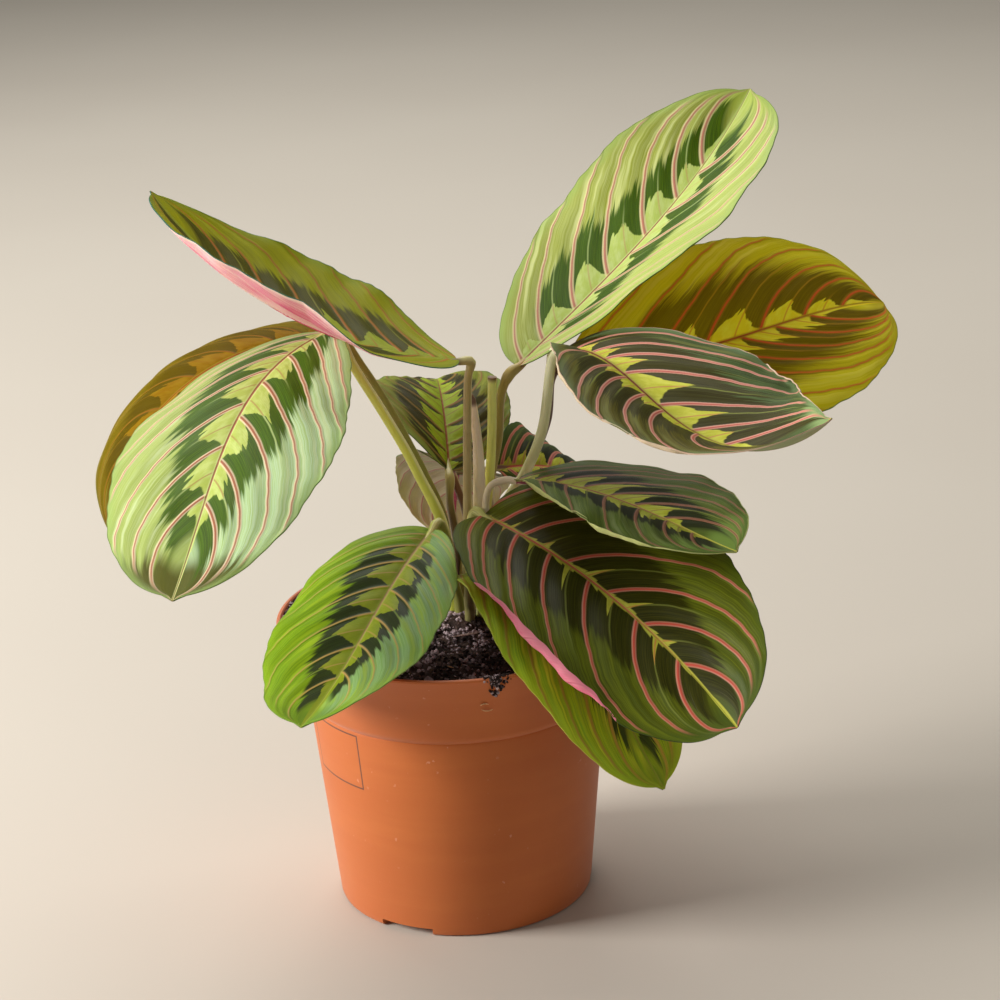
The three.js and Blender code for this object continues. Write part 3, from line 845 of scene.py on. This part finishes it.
looks = {
    "upright_right": dict(
        plainLook, shine=0.12, lobe=0.26, tooth=0.04, spike=0.0, thread=0.4, ribWidth=0.8,
        lobeColour="#a3b65a", lobeStreak="#b1c276", blotchColour="#2c4600", blotchStreak="#405e02",
        body="#a8b45e", bodyPale="#ccd492", ends="#a4b84c", rib="#ac7460", ribEdge="#cfc094",
        bodyLeft="#9ca65c", bodyLeftStreak="#879236"),
    "hanging_left": dict(
        plainLook, shine=0.18, lobe=0.25, tooth=0.06, blotch=0.6, blotchTaper=0.07, blotchFrom=0.0,
        tipLobe=0.12, endFrom=0.86, endDepth=0.97, ribWidth=0.72, midribWidth=0.92, lobeColour="#a6b850",
        lobeStreak="#b9ca72", blotchColour="#324c00", blotchStreak="#486a04", body="#9cae62",
        bodyStreak="#8a9c46", bodyPale="#c2d2a0", ends="#484a02", rib="#9c6044", midrib="#94583c",
        midribTip="#8f7a50", bodyLeft="#b0cba0", bodyLeftStreak="#98b470"),
    # the yellow-olive body, bright yellow lobes and orange ribs of this leaf are painted light: they paint
    # the glow of light from behind shining through the blade
    "back_right": dict(
        plainLook, slot="leaf_olive", shine=0.05, glow=0.7, softness=0.16, lobe=0.17, blotch=0.6,
        feather=0.3, edgeShare=0.5, ribWidth=0.8, lobeColour="#f4dc2a", lobeStreak="#fcec48",
        blotchColour="#5e5008", blotchStreak="#74640e", body="#c8c01c", bodyStreak="#d8cc28",
        bodyPale="#e8dc58", ends="#a89a18", nearMargin="#aaa41c", rim="#5a7440", rib="#d4682e",
        ribOuter="#d08438", ribEdge="#b08a28", midrib="#c07030", midribEdge="#ccb22c", midribTip="#c4a82c",
        threadColour="#b4882a"),
    # the olive and orange-brown colours of this leaf are painted light: they paint the leaf as lit from
    # behind through the blade
    "behind_left": dict(
        plainLook, slot="leaf_olive", shine=0.02, softness=0.12, thread=0.2, edgeShare=0.3, ribWidth=0.5,
        lobeColour="#7c5c0a", lobeStreak="#846812", blotchColour="#4e4006", blotchStreak="#584a08",
        body="#5e5008", bodyStreak="#6c5e0e", bodyPale="#76661f", ends="#643e0c", nearMargin="#5c6426",
        rim="#5c7548", rib="#82561a", ribOuter="#7c581c", ribEdge="#7c6a1c", midrib="#8a4c1c",
        midribEdge="#94802a", midribTip="#9a8028", threadColour="#98762a"),
    "arched_right": dict(
        darkLook, shine=0.07, lobe=0.2, tooth=0.03, spike=0.12, blotch=0.68, feather=0.5, blotchFrom=-1.0,
        ribWidth=0.66, patches=0.55, lobeColour="#b2b42e", lobeStreak="#c6c84c", blotchColour="#302c08",
        blotchStreak="#44441a", body="#5a5412", bodyStreak="#403c0c", bodyPale="#6e7234", ends="#93ad72",
        nearMargin="#6c825a", rim="#ccae98", rib="#b85e54", ribOuter="#c07a6c", ribEdge="#d8a08c",
        midrib="#7f3d26", midribEdge="#a79c3a", back="#8f9a70", backFlush="#98906c", backPale="#aab48c",
        backMargin="#d8b8a4", bodyLeft="#4f6236", bodyLeftStreak="#303e1a"),
    "side_right": dict(
        darkLook, tooth=0.1, tipLobe=0.04, endFrom=0.8, edgeShare=0.45, ribWidth=0.5, patches=0.6,
        body="#465a1c", bodyStreak="#5c6e2a", bodyPale="#6e7c4c", ends="#6f8c40", rim="#a9b070",
        rib="#8e624a", ribOuter="#84644c", midrib="#a5604c", back="#b4bc74", backFlush="#b4b478",
        backPale="#ccd090", backMargin="#c0c87c"),
    "front_right": dict(
        darkLook, roughness=0.4, shine=0.14, teeth=3.4, lobe=0.03, tooth=0.025, spike=0.17,
        spikeWidth=0.065, thread=0.55, lobeColour="#b4b43c", lobeStreak="#c4c850", blotchColour="#2c2e08",
        blotchStreak="#40420e", body="#4f5712", bodyStreak="#6c781a", nearMargin="#566a1c", rib="#cc5648",
        back="#e8849a", backFlush="#ee6a8c", backPale="#f0aab0", backMargin="#f09aa8"),
    "front_low": dict(
        plainLook, slot="leaf_bright", glow=0.5, blotch=0.5, feather=0.5, patches=0.8, lobeColour="#80a81a",
        lobeStreak="#98b52a", blotchColour="#1d300a", blotchStreak="#2a4410", body="#98bc18",
        bodyStreak="#6c9c12", bodyPale="#ccd83a", ends="#76901a", nearMargin="#aed430", rim="#a6b83c",
        rib="#b8a040", ribOuter="#a49a34", ribEdge="#a6a03c", midrib="#a58c44", midribEdge="#98a838",
        midribTip="#93a434", threadColour="#8fac3a"),
    "front_left": dict(
        plainLook, slot="leaf_bright", glow=0.3, lobe=0.28, tooth=0.06, spike=0.03, blotch=0.5,
        feather=0.05, tipLobe=0.5, edgeShare=0.45, ribWidth=0.4, midribWidth=0.85, lobeColour="#7c9010",
        lobeStreak="#88981c", blotchColour="#1b2a0a", blotchStreak="#283c10", body="#78a00c",
        bodyStreak="#5f8a0a", bodyPale="#9cbc20", ends="#5c8010", nearMargin="#86ae18", rim="#6c8c3c",
        rib="#b8945a", ribOuter="#a8a052", ribEdge="#b4ac50", midrib="#a8905a", midribEdge="#92a434",
        midribTip="#8c9c34", threadColour="#86a43c", bodyLeft="#86ae70", bodyLeftStreak="#709c50"),
    "folded_left": dict(
        plainLook, slot="leaf_bright", shine=0.07, glow=0.4, blotch=0.6, edgeShare=0.5,
        lobeColour="#8f9c24", lobeStreak="#9ea834", blotchColour="#3c3c04", blotchStreak="#585a0c",
        body="#868c0c", bodyStreak="#9a9c10", bodyPale="#a4a220", ends="#8c9224", nearMargin="#768a20",
        rim="#2f5a50", rib="#b4682c", ribOuter="#a4702e", ribEdge="#a88430", midrib="#a87a3a",
        midribEdge="#9c983a", midribTip="#8c8c34", threadColour="#949438", back="#e0a4b0",
        backFlush="#c44674", backPale="#f0e8da", backMargin="#e8e6d2", backRib="#c04a66",
        backMidrib="#b82c54"),
    "back_centre": dict(
        plainLook, slot="leaf_bright", shine=0.08, glow=0.3, lobe=0.36, tooth=0.08, blotch=0.68,
        blotchFrom=-0.5, edgeShare=0.5, lobeColour="#86981a", lobeStreak="#8fa424", blotchColour="#2c2a04",
        blotchStreak="#38360c", body="#646c18", bodyStreak="#707a1c", bodyPale="#857a38", ends="#6d8420",
        nearMargin="#6f8440", rim="#4a5a30", rib="#80582e", ribOuter="#7c6034", ribEdge="#7c7430",
        midrib="#8a5230", midribEdge="#8a9a2c", midribTip="#8a8a34", threadColour="#8c9a3c"),
    "back_drooping": dict(
        plainLook, body="#6f8a3c", bodyStreak="#7d9648", back="#a8aa84", backFlush="#aaa088",
        backPale="#bcba9c", backRib="#a8606a", backMidrib="#a03c58"),
    "back_dark": dict(darkLook, rim="#3c5a2c", rib="#a8605a"),
}
for number, (name, leaf) in enumerate(leaves.items()):
    piece, most = makeBlade(name, leaf, 1.7 + 2.3 * number)
    look = looks[name]
    for coat in (leafFace, leafBack):
        piece.data.materials.append(coat(name, look, number + 1.0))
    thicken(piece, most)
    finishPiece(piece, look["slot"], [f"leaf_{name}"])
print("leaves made:", len(leaves))

# the stalks: tubes along a route, with a sheath below, a groove, a knee and an end that runs under the
# blade; neck, bend: two points near the blade's base, by their way along the midrib and their drop
stem = {
    "neck": (4, 0.3), "bend": (1.2, 1.0), "footHeights": (90.5, 97), "ringStep": 1.3, "sides": 20,
    "groove": 0.13, "grooveTurn": 4.2, "sheathWidth": 1.16, "sheathEnd": 0.38,
    "kneeWidth": 1.28, "kneeLength": 9, "runUnder": 9, "underGap": 0.1, "endWidth": 0.25,
}


def routePoints(points, steps):
    # a smooth curve through the points, as even steps along its length, and its length
    points = [np.array(p, float) for p in points]
    padded = [2 * points[0] - points[1]] + points + [2 * points[-1] - points[-2]]
    fine = []
    for index in range(len(points) - 1):
        p0, p1, p2, p3 = padded[index:index + 4]
        gaps = [max(np.linalg.norm(b - a) ** 0.5, 1e-4) for a, b in ((p0, p1), (p1, p2), (p2, p3))]
        slope1 = ((p1 - p0) / gaps[0] - (p2 - p0) / (gaps[0] + gaps[1]) + (p2 - p1) / gaps[1]) * gaps[1]
        slope2 = ((p2 - p1) / gaps[1] - (p3 - p1) / (gaps[1] + gaps[2]) + (p3 - p2) / gaps[2]) * gaps[1]
        for t in np.linspace(0, 1, 40, endpoint=False):
            fine.append(p1 + slope1 * t + (3 * (p2 - p1) - 2 * slope1 - slope2) * t ** 2
                        + (2 * (p1 - p2) + slope1 + slope2) * t ** 3)
    fine.append(points[-1])
    fine = np.array(fine)
    length = np.concatenate([[0], np.cumsum(np.linalg.norm(np.diff(fine, axis=0), axis=1))])
    even = np.linspace(0, length[-1], steps + 1)
    return np.stack([np.interp(even, length, fine[:, axis]) for axis in range(3)], -1), length[-1]


def carriedFrames(track):
    # two directions across the track, carried along it without twisting
    ahead = np.gradient(track, axis=0)
    ahead /= np.linalg.norm(ahead, axis=1)[:, None]
    first = np.cross(ahead[0], (0, 1, 0))
    across = [first / np.linalg.norm(first)]
    for direction in ahead[1:]:
        step = across[-1] - direction * np.dot(across[-1], direction)
        across.append(step / np.linalg.norm(step))
    return np.array(across), np.cross(ahead, across)


def rollTube(name, track, radiusAt, sides):
    # a flat grid rolled round the track, its seam merged and its ends drawn in to a point
    rows = len(track) - 1
    piece, column, row = addGrid(name, sides, rows)
    around, share = column / sides, row / rows
    across, beside = carriedFrames(track)
    angle = 2 * np.pi * around
    radius = np.where((row == 0) | (row == rows), 0, radiusAt(share, angle))
    spoke = np.cos(angle)[:, None] * across[row] + np.sin(angle)[:, None] * beside[row]
    movePoints(piece, (track[row] + spoke * radius[:, None]) * mm)
    corners = clearMaps(piece)
    writeMap(piece, "stem", share[corners], around[corners])
    startEdit(piece)
    bpy.ops.mesh.remove_doubles(threshold=0.000004)
    endEdit()
    smoothShade(piece, 60)
    return piece


def stemMaterial(name, look, seed):
    material, tree = startMaterial(f"stem_{name}", **{
        "Roughness": 0.4, "Specular IOR Level": 0.5, "Subsurface Weight": 0.3, "Subsurface Scale": 0.003,
        "Subsurface Radius": (1.0, 0.9, 0.5)})
    share, turn = mapAxes(tree, "stem")
    angle = turn * (2 * math.pi)
    east, north = calc("COSINE", angle), calc("SINE", angle)
    fibres = cloud(joinAxes(east * 4.0, north * 4.0, share * 5.0 + seed), 1.0, 3.0, 0.6)
    patches = cloud(objectPlace(tree), 90.0)
    stripe = calc("COSINE", angle - look["stripeTurn"]) * 0.5 + 0.5
    colour = blend(rise(share, 0.12, 0.5), look["low"], look["middle"])
    for amount, layer in (
            (rise(share, 0.5, 0.9), "high"),
            (rise(stripe + fibres * 0.3, 0.9, 1.12) * look["stripeShare"], "stripe"),
            (rise(fibres, 0.5, 0.72) * 0.45, "fibre"), (rise(patches, 0.58, 0.8) * 0.3, "knee"),
            (rise(share, look["kneeFrom"], look["kneeFrom"] + 0.03) * look["kneeShare"], "knee")):
        colour = blend(amount, colour, look[layer])
    return dress(material, colour, fibres, depth=0.25, strength=0.7)


plainStem = {
    "slot": "stalk_pale", "low": "#98955b", "middle": "#bdbc7c", "high": "#cecc92", "fibre": "#89844c",
    "stripe": "#f0eaac", "stripeTurn": 3.4, "stripeShare": 0.7, "knee": "#aa8254", "kneeFrom": 0.9,
    "kneeShare": 0.5,
}
stemLooks = {
    "upright_right": dict(
        plainStem, slot="stalk_green", low="#86783f", middle="#a4934e", high="#b59f57", fibre="#756836",
        stripe="#cfbc73", knee="#aa714a"),
    "back_right": dict(
        plainStem, slot="stalk_purple", low="#493429", middle="#634736", high="#734f39", fibre="#3d291d",
        stripe="#947155", stripeShare=0.4),
    # near-white, paler than the stalk's own colour: painted light for the light that passes through it from
    # behind
    "arched_right": dict(plainStem, low="#e2e2a8", middle="#f6f6c8", high="#f8f8cc", fibre="#ccca84"),
    # near-white, paler than the stalk's own colour: painted light for the light that passes through it under
    # the leaves
    "side_right": dict(
        plainStem, low="#e6deae", middle="#f6eccc", high="#f6e6cc", fibre="#ccb498", stripe="#ffeebd",
        knee="#d89573"),
    "front_right": dict(plainStem, low="#c0c480", middle="#d0d68a", high="#d2da80"),
    "front_low": dict(plainStem, high="#bdc666"),
    "front_left": dict(plainStem, slot="stalk_green", low="#979b50", middle="#b0be57", high="#c3d462"),
    # brightened above the stalk's own colour: painted light for the light that falls on it in the shade of
    # the leaves
    "hanging_left": dict(
        plainStem, slot="stalk_green", low="#ccd85a", middle="#ecf468", high="#f0f47e", fibre="#c6ce52",
        stripe="#ffffc0", stripeTurn=3.0, stripeShare=0.9),
    "behind_left": dict(
        plainStem, slot="stalk_green", low="#75752f", middle="#939341", high="#aa9b47", fibre="#69682b",
        stripe="#bbb264", stripeShare=0.5),
    "folded_left": dict(
        plainStem, low="#beb478", middle="#c4b27c", high="#b49e64", fibre="#93894c", knee="#5f3829",
        kneeShare=0.9),
    "back_centre": dict(
        plainStem, slot="stalk_purple", low="#4b3429", middle="#78623f", high="#bfb771", fibre="#422d22"),
    "back_drooping": dict(
        plainStem, slot="stalk_purple", low="#4b3429", middle="#614734", high="#94604d", fibre="#3f291e",
        knee="#a64f56"),
    "back_dark": dict(
        plainStem, slot="stalk_purple", low="#443126", middle="#5a4032", high="#724f3d", fibre="#37261d"),
    # brightened above the stalk's own colour: painted light for the light that falls on it in the shade of
    # the leaves
    "cut": dict(
        plainStem, slot="stalk_green", low="#ccd468", middle="#ecf080", high="#f0f48c", fibre="#c4c65a",
        stripe="#eeee94", knee="#76502d", kneeFrom=0.955, kneeShare=1.0),
    # near-white, paler than the young leaf's own cream: painted light for the light that falls on it in the
    # shade of the leaves
    "rolled": dict(
        plainStem, slot="rolled_leaf", low="#e2e2b0", middle="#fdeed4", high="#fde6d2", fibre="#d8c4a4",
        stripe="#fff0b9", stripeShare=0.5, knee="#613a2d", kneeFrom=0.93, kneeShare=0.9),
}


def grooved(angle, depth):
    return 1 - depth * np.clip(np.cos(angle - stem["grooveTurn"]), 0, 1) ** 6


def makeStem(name, leaf, seed):
    forward, up = [midribFrames(leaf, np.array([0.0]))[index][0] for index in (0, 2)]
    foot = [(*leaf["foot"], height) for height in stem["footHeights"]]
    base = np.array(leaf["at"], float)
    under = (stem["runUnder"], blade["midribThick"] + stem["underGap"])
    neck = (-stem["neck"][0], stem["neck"][1])
    ends = [base + forward * way - up * drop for way, drop in (neck, stem["bend"], under)]
    points = foot + list(leaf["route"]) + ends
    length = routePoints(points, 10)[1]
    track, length = routePoints(points, int(length / stem["ringStep"]))
    bottom, top = leaf["stalk"]
    knee = 1 - (stem["runUnder"] + stem["kneeLength"]) / length
    last = 1 - stem["runUnder"] / length

    def radiusAt(share, angle):
        radius = bottom + (top - bottom) * share
        sheath = (1 - np.clip(share / stem["sheathEnd"], 0, 1)) ** 0.5
        radius = radius * (1 + (stem["sheathWidth"] - 1) * sheath)
        swell = np.clip((share - knee) / (last - knee), 0, 1)
        radius = radius * (1 + (stem["kneeWidth"] - 1) * np.sin(np.pi * swell))
        taper = np.clip((share - last) / (1 - last), 0, 1)
        return radius * (1 - (1 - stem["endWidth"]) * taper) * grooved(angle, stem["groove"])

    piece = rollTube(f"stem_{name}", track, radiusAt, stem["sides"])
    look = stemLooks[name]
    finishPiece(piece, look["slot"], [f"stalk_{name}"], stemMaterial(name, look, seed))


for number, (name, leaf) in enumerate(leaves.items()):
    makeStem(name, leaf, number * 3.7)

cutStalk = {
    "points": ((8.5, 25.5, 90.5), (8.5, 25.5, 97), (14.5, 26.5, 138), (16, 26, 156), (16.8, 25.5, 174.3)),
    "steps": 64, "radii": (1.8, 1.5), "groove": 0.1, "lip": (0.975, 1.05), "dish": 0.25,
    "sides": 20, "seed": 51.0,
}
rolledLeaf = {
    "points": ((9, 20.5, 90.5), (9, 20.5, 97), (10.6, 23, 127), (11, 23, 146), (9.6, 22.5, 170)),
    "steps": 96, "radii": (2.7, 0.8), "sides": 32, "twist": 9.0, "lap": 0.28, "seed": 57.0,
}


def makeCutStalk():
    track = routePoints(cutStalk["points"], cutStalk["steps"])[0]
    track = np.vstack([track, [track[-1] - (0, 0, cutStalk["dish"])]])  # the cut end is dished
    bottom, top = cutStalk["radii"]

    def radiusAt(share, angle):
        radius = (bottom + (top - bottom) * share) * grooved(angle, cutStalk["groove"])
        return np.where(share > cutStalk["lip"][0], radius * cutStalk["lip"][1], radius)

    piece = rollTube("cutStem", track, radiusAt, cutStalk["sides"])
    look = stemLooks["cut"]
    finishPiece(piece, look["slot"], ["cut_stalk"], stemMaterial("cut", look, cutStalk["seed"]))


def makeRolledLeaf():
    track = routePoints(rolledLeaf["points"], rolledLeaf["steps"])[0]
    bottom, top = rolledLeaf["radii"]

    def radiusAt(share, angle):
        # the young blade wraps round itself: its edge stands proud along a slow spiral
        radius = bottom * (1 - share) ** 0.55 + top * share
        wrap = ((angle + rolledLeaf["twist"] * share) / (2 * np.pi)) % 1
        radius = radius * (0.86 + rolledLeaf["lap"] * wrap * (1 - 0.4 * share) * np.clip(share * 6, 0, 1))
        return radius * np.clip((1 - share) / 0.03, 0.12, 1) ** 0.8

    piece = rollTube("rolledYoungLeaf", track, radiusAt, rolledLeaf["sides"])
    look = stemLooks["rolled"]
    finishPiece(piece, look["slot"], ["rolled_leaf"], stemMaterial("rolled", look, rolledLeaf["seed"]))


makeCutStalk()
makeRolledLeaf()
print("stalks made")

# the compost; below: radius and height of the two steps under its surface
compost = {
    "radius": 54.2, "height": 90.2, "sink": 1.3, "sinkFrom": 40, "below": ((49.2, 72), (42.3, 4.2)),
    "crown": (8, 24), "crownRadius": 17, "crownRise": 3.0, "grid": 200, "colours": ("#2a201c", "#57453d"),
    # unevenness: how much, its place in the noise, its scale
    "lumps": ((1.5, 3.0, 0.11), (0.7, 9.0, 0.45), (0.35, 5.0, 1.1)),
}
# crumbs and fibres on the compost and on the pot; lean: how far the wall of the pot leans outwards
litter = {
    "crumbs": 3900, "bigCrumbs": 50, "bigSize": (1.0, 1.8), "smallSize": (0.38, 0.55), "lean": 0.349,
    # tones: 0 dark, 1 pale; clusters: how much the tone varies from place to place, and their scale
    "tone": 0.5, "clusters": (1.7, 0.2), "toneLuck": (-0.3, 0.35), "palest": 0.86,
    "bank": {"count": 900, "angle": (168, 8), "size": (0.5, 1.1), "low": 89.5, "rise": 10.2, "depth": 3.5},
    "fibres": 50, "fibreWidth": 0.17, "fibreRings": 9, "fibreSize": (1.5, 4), "fibreBow": (-2, 2),
    # a bundle of three long fibres: x, y, bow
    "bundle": ((-1.5, -3.4, 0.3), (-0.5, -2.9, 0.1), (0.6, -2.6, -0.2)), "bundleHeight": 92.2,
    "bundleSize": 11, "bundleAhead": (0.97, 0.24, 0),
    "rim": {"count": 150, "onTop": 60, "angle": (282.2, 1.9), "size": (0.25, 0.7), "drop": 6.5},
    # fibres that hang on the wall: angle, height, length, bow
    "loops": ((277.0, 89.5, 3.4, -1.4), (277.4, 88.0, 4.6, 1.1)),
    "dust": {"count": 14, "angle": (207, 6), "size": (0.12, 0.3), "height": (93, 98)},
}


def compostHeight(x, y):
    radius = math.hypot(x, y)
    outward = (radius - compost["sinkFrom"]) / (compost["radius"] - compost["sinkFrom"])
    height = compost["height"] - compost["sink"] * min(max(outward, 0), 1)
    fromCrown = math.hypot(x - compost["crown"][0], y - compost["crown"][1]) / compost["crownRadius"]
    height += compost["crownRise"] * max(0, 1 - fromCrown ** 2.5) ** 0.7
    for most, layer, scale in compost["lumps"]:
        height += most * noise.noise(Vector((x, y, layer)) * scale)
    return height


def compostMaterial():
    material, tree = startMaterial("compostFill", **{"Roughness": 0.93, "Specular IOR Level": 0.25})
    place = objectPlace(tree)
    patches = cloud(place, 160.0, 4.0, 0.6)
    grain = cloud(place, 700.0, 4.0, 0.65)
    colour = blend(rise(patches, 0.35, 0.68), *compost["colours"])
    colour = blend(rise(grain, 0.56, 0.78), colour, "#8a6e64")
    colour = blend(rise(cloud(place, 380.0), 0.66, 0.74) * 0.5, colour, "#a98a78")
    return dress(material, colour, grain + patches, depth=1.2, strength=0.9)


def crumbMaterial():
    material, tree = startMaterial("compostCrumbs", **{"Roughness": 0.9, "Specular IOR Level": 0.25})
    tone = Flow(addNode("ShaderNodeAttribute", tree, attribute_name="tone").outputs["Fac"])
    colour = blend(rise(tone, 0.25, 0.6), "#2a201d", "#a8979a")
    colour = blend(rise(tone, 0.6, 0.85), colour, "#cfbec2")
    colour = blend(rise(tone, 0.9, 0.98), colour, "#e6bc8a")
    grain = cloud(objectPlace(tree), 1200.0, 3.0, 0.6)
    colour = blend(rise(grain, 0.45, 0.7) * 0.5, colour, "#43322c")
    return dress(material, colour, grain, depth=0.5, strength=0.8)


def makeCompost():
    piece, column, row = addGrid("compostFill", compost["grid"], compost["grid"])
    x, y = 2 * column / compost["grid"] - 1, 2 * row / compost["grid"] - 1
    # the square grid is drawn in to a disc
    disc = np.stack([x * np.sqrt(1 - y ** 2 / 2), y * np.sqrt(1 - x ** 2 / 2)], -1) * compost["radius"]
    heights = [compostHeight(px, py) for px, py in disc]
    movePoints(piece, np.column_stack([disc, heights]) * mm)
    startEdit(piece)
    bpy.ops.mesh.region_to_loop()
    radius = compost["radius"]
    for nextRadius, height in compost["below"]:
        # each step is drawn in and made flat at its own height
        bpy.ops.mesh.extrude_edges_move(TRANSFORM_OT_translate={"value": (0, 0, -20 * mm)})
        share = nextRadius / radius
        bpy.ops.transform.resize(value=(share, share, 0), center_override=(0, 0, height * mm))
        radius = nextRadius
    bpy.ops.mesh.edge_face_add()
    endEdit()
    smoothShade(piece, 50)
    finishPiece(piece, "compost", ["compost"], compostMaterial())


def strewCrumbs():
    dice = random.Random(41)
    bpy.ops.mesh.primitive_ico_sphere_add(subdivisions=1, radius=1)
    pattern = named("crumbPattern")
    shape = meshPoints(pattern)
    faces = [tuple(p.vertices) for p in pattern.data.polygons]
    bpy.data.objects.remove(pattern)
    points, polygons, tones = [], [], []

    def addCrumb(radius, angle, height, size, tone):
        spot = Vector((*onCircle(radius, angle), height))
        turn = Euler([dice.uniform(0, 6.28) for _ in range(3)]).to_matrix()
        stretch = [size * dice.uniform(0.6, 1.25) for _ in range(3)]
        polygons.extend([tuple(len(points) + v for v in face) for face in faces])
        for corner in shape:
            bump = dice.uniform(0.72, 1.18)
            points.append(spot + turn @ Vector([c * s * bump for c, s in zip(corner, stretch)]))
            tones.append(min(max(tone + dice.uniform(-0.06, 0.06), 0), 1))

    def addFibre(place, ahead, length, bow, tone, bend=None):
        # a thin thread with six sides that turns from one direction towards another
        rings, start, spot = litter["fibreRings"], len(points), Vector(place)
        ahead = Vector(ahead)
        bend = Vector(bend or (-ahead.y, ahead.x, 0))
        normal = ahead.cross(bend)
        for ring in range(rings):
            turn = bow * (ring / (rings - 1) - 0.5)
            onward = ahead * math.cos(turn) + bend * math.sin(turn)
            beside = normal.cross(onward)
            width = litter["fibreWidth"] * (0.2 + math.sin(math.pi * ring / (rings - 1)) ** 0.5)
            for corner in range(6):
                over, up = onCircle(width, corner * math.pi / 3)
                points.append(spot + over * beside + up * normal)
                tones.append(tone)
            spot = spot + onward * length / rings
        for ring in range(rings - 1):
            for corner in range(6):
                low, near = start + 6 * ring, (corner + 1) % 6
                polygons.append((low + corner, low + near, low + 6 + near, low + 6 + corner))
        polygons.append(tuple(start + corner for corner in range(5, -1, -1)))
        polygons.append(tuple(start + 6 * (rings - 1) + corner for corner in range(6)))

    least, more = litter["smallSize"]
    change, scale = litter["clusters"]
    for number in range(litter["crumbs"] + litter["bigCrumbs"]):
        big = number < litter["bigCrumbs"]
        size = dice.uniform(*litter["bigSize"]) if big else least + more * dice.random() ** 1.3
        radius = (compost["radius"] - size - 0.4) * math.sqrt(dice.random())
        angle = dice.uniform(0, 2 * math.pi)
        x, y = onCircle(radius, angle)
        # pale crumbs lie in clusters
        tone = litter["tone"] + change * noise.noise(Vector((x, y, 307.5)) * scale)
        tone += dice.uniform(*litter["toneLuck"])
        height = compostHeight(x, y) + size * dice.uniform(-0.1, 0.6)
        addCrumb(radius, angle, height, size, min(max(tone, 0), litter["palest"]))
    # a bank of crumbs against the wall at the left
    bank = litter["bank"]
    for number in range(bank["count"]):
        angle, size = math.radians(dice.gauss(*bank["angle"])), dice.uniform(*bank["size"])
        height = bank["low"] + bank["rise"] * dice.random() ** 0.9
        wall = pot["ridge"] - 0.4 + litter["lean"] * (height - 77)
        radius = wall - 0.75 * size - bank["depth"] * dice.random() ** 2
        addCrumb(radius, angle, height, size, 0.8 * dice.random() ** 1.5)
    for number in range(litter["fibres"]):
        x, y = onCircle(50 * math.sqrt(dice.random()), dice.uniform(0, 6.28))
        ahead = (*onCircle(1, dice.uniform(0, 6.28)), 0)
        length, bow = dice.uniform(*litter["fibreSize"]), dice.uniform(*litter["fibreBow"])
        addFibre((x, y, compostHeight(x, y) + 0.8), ahead, length, bow, dice.uniform(0.6, 1))
    for x, y, bow in litter["bundle"]:
        place = (x, y, litter["bundleHeight"])
        addFibre(place, litter["bundleAhead"], litter["bundleSize"], bow, 0.93)
    # crumbs and fibres caught on the rim at the front, and dust under the rim
    rim = litter["rim"]
    for number in range(rim["count"]):
        angle, size = dice.gauss(*rim["angle"]), dice.uniform(*rim["size"])
        drop = dice.random() ** 1.4 * rim["drop"]
        if number < rim["onTop"]:
            radius = dice.uniform(pot["rim"] - 1.6, pot["rim"])
            height = pot["height"] - 0.1 + size * 0.4 * dice.random()
        else:
            angle = rim["angle"][0] + (angle - rim["angle"][0]) * (1 - drop / 9)
            radius, height = pot["rim"] - drop * litter["lean"] + size * 0.15, pot["height"] - 0.6 - drop
        addCrumb(radius, math.radians(angle), height, size, 0.9 * dice.random() ** 3.5)
    for angle, height, length, bow in litter["loops"]:
        turn = math.radians(angle)
        radius = pot["rim"] + 0.3 - (pot["height"] - 0.7 - height) * litter["lean"]
        ahead = (-math.sin(turn), math.cos(turn), 0)
        addFibre((*onCircle(radius, turn), height), ahead, length, bow, 1.0, (0, 0, 1))
    dust = litter["dust"]
    for number in range(dust["count"]):
        angle, size = math.radians(dice.gauss(*dust["angle"])), dice.uniform(*dust["size"])
        height = dice.uniform(*dust["height"])
        radius = pot["rim"] - (pot["height"] - 1 - height) * 0.33
        addCrumb(radius, angle, height, size, dice.choice((0, 0.1, 1)))
    mesh = bpy.data.meshes.new("compostCrumbs")
    mesh.from_pydata([p * mm for p in points], [], polygons)
    layer = mesh.attributes.new("tone", "FLOAT", "POINT")
    layer.data.foreach_set("value", tones)
    piece = bpy.data.objects.new("compostCrumbs", mesh)
    bpy.context.scene.collection.objects.link(piece)
    finishPiece(piece, "compost", [], crumbMaterial())


makeCompost()
strewCrumbs()
print("compost made")


def rootMaterial():
    material, tree = startMaterial("rootSkin", **{"Roughness": 0.75})
    place = objectPlace(tree)
    colour = blend(rise(cloud(place, 120.0, 4.0), 0.35, 0.7), "#8a6a48", "#b89a70")
    return dress(material, colour, cloud(place, 500.0, 3.0), depth=0.6, strength=0.7)


# the rootstock keeps its CAD shape, inside the compost
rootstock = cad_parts["rootstock"]
rootstock.data.materials.clear()
rootstock.data.materials.append(rootMaterial())
print("plant finished")
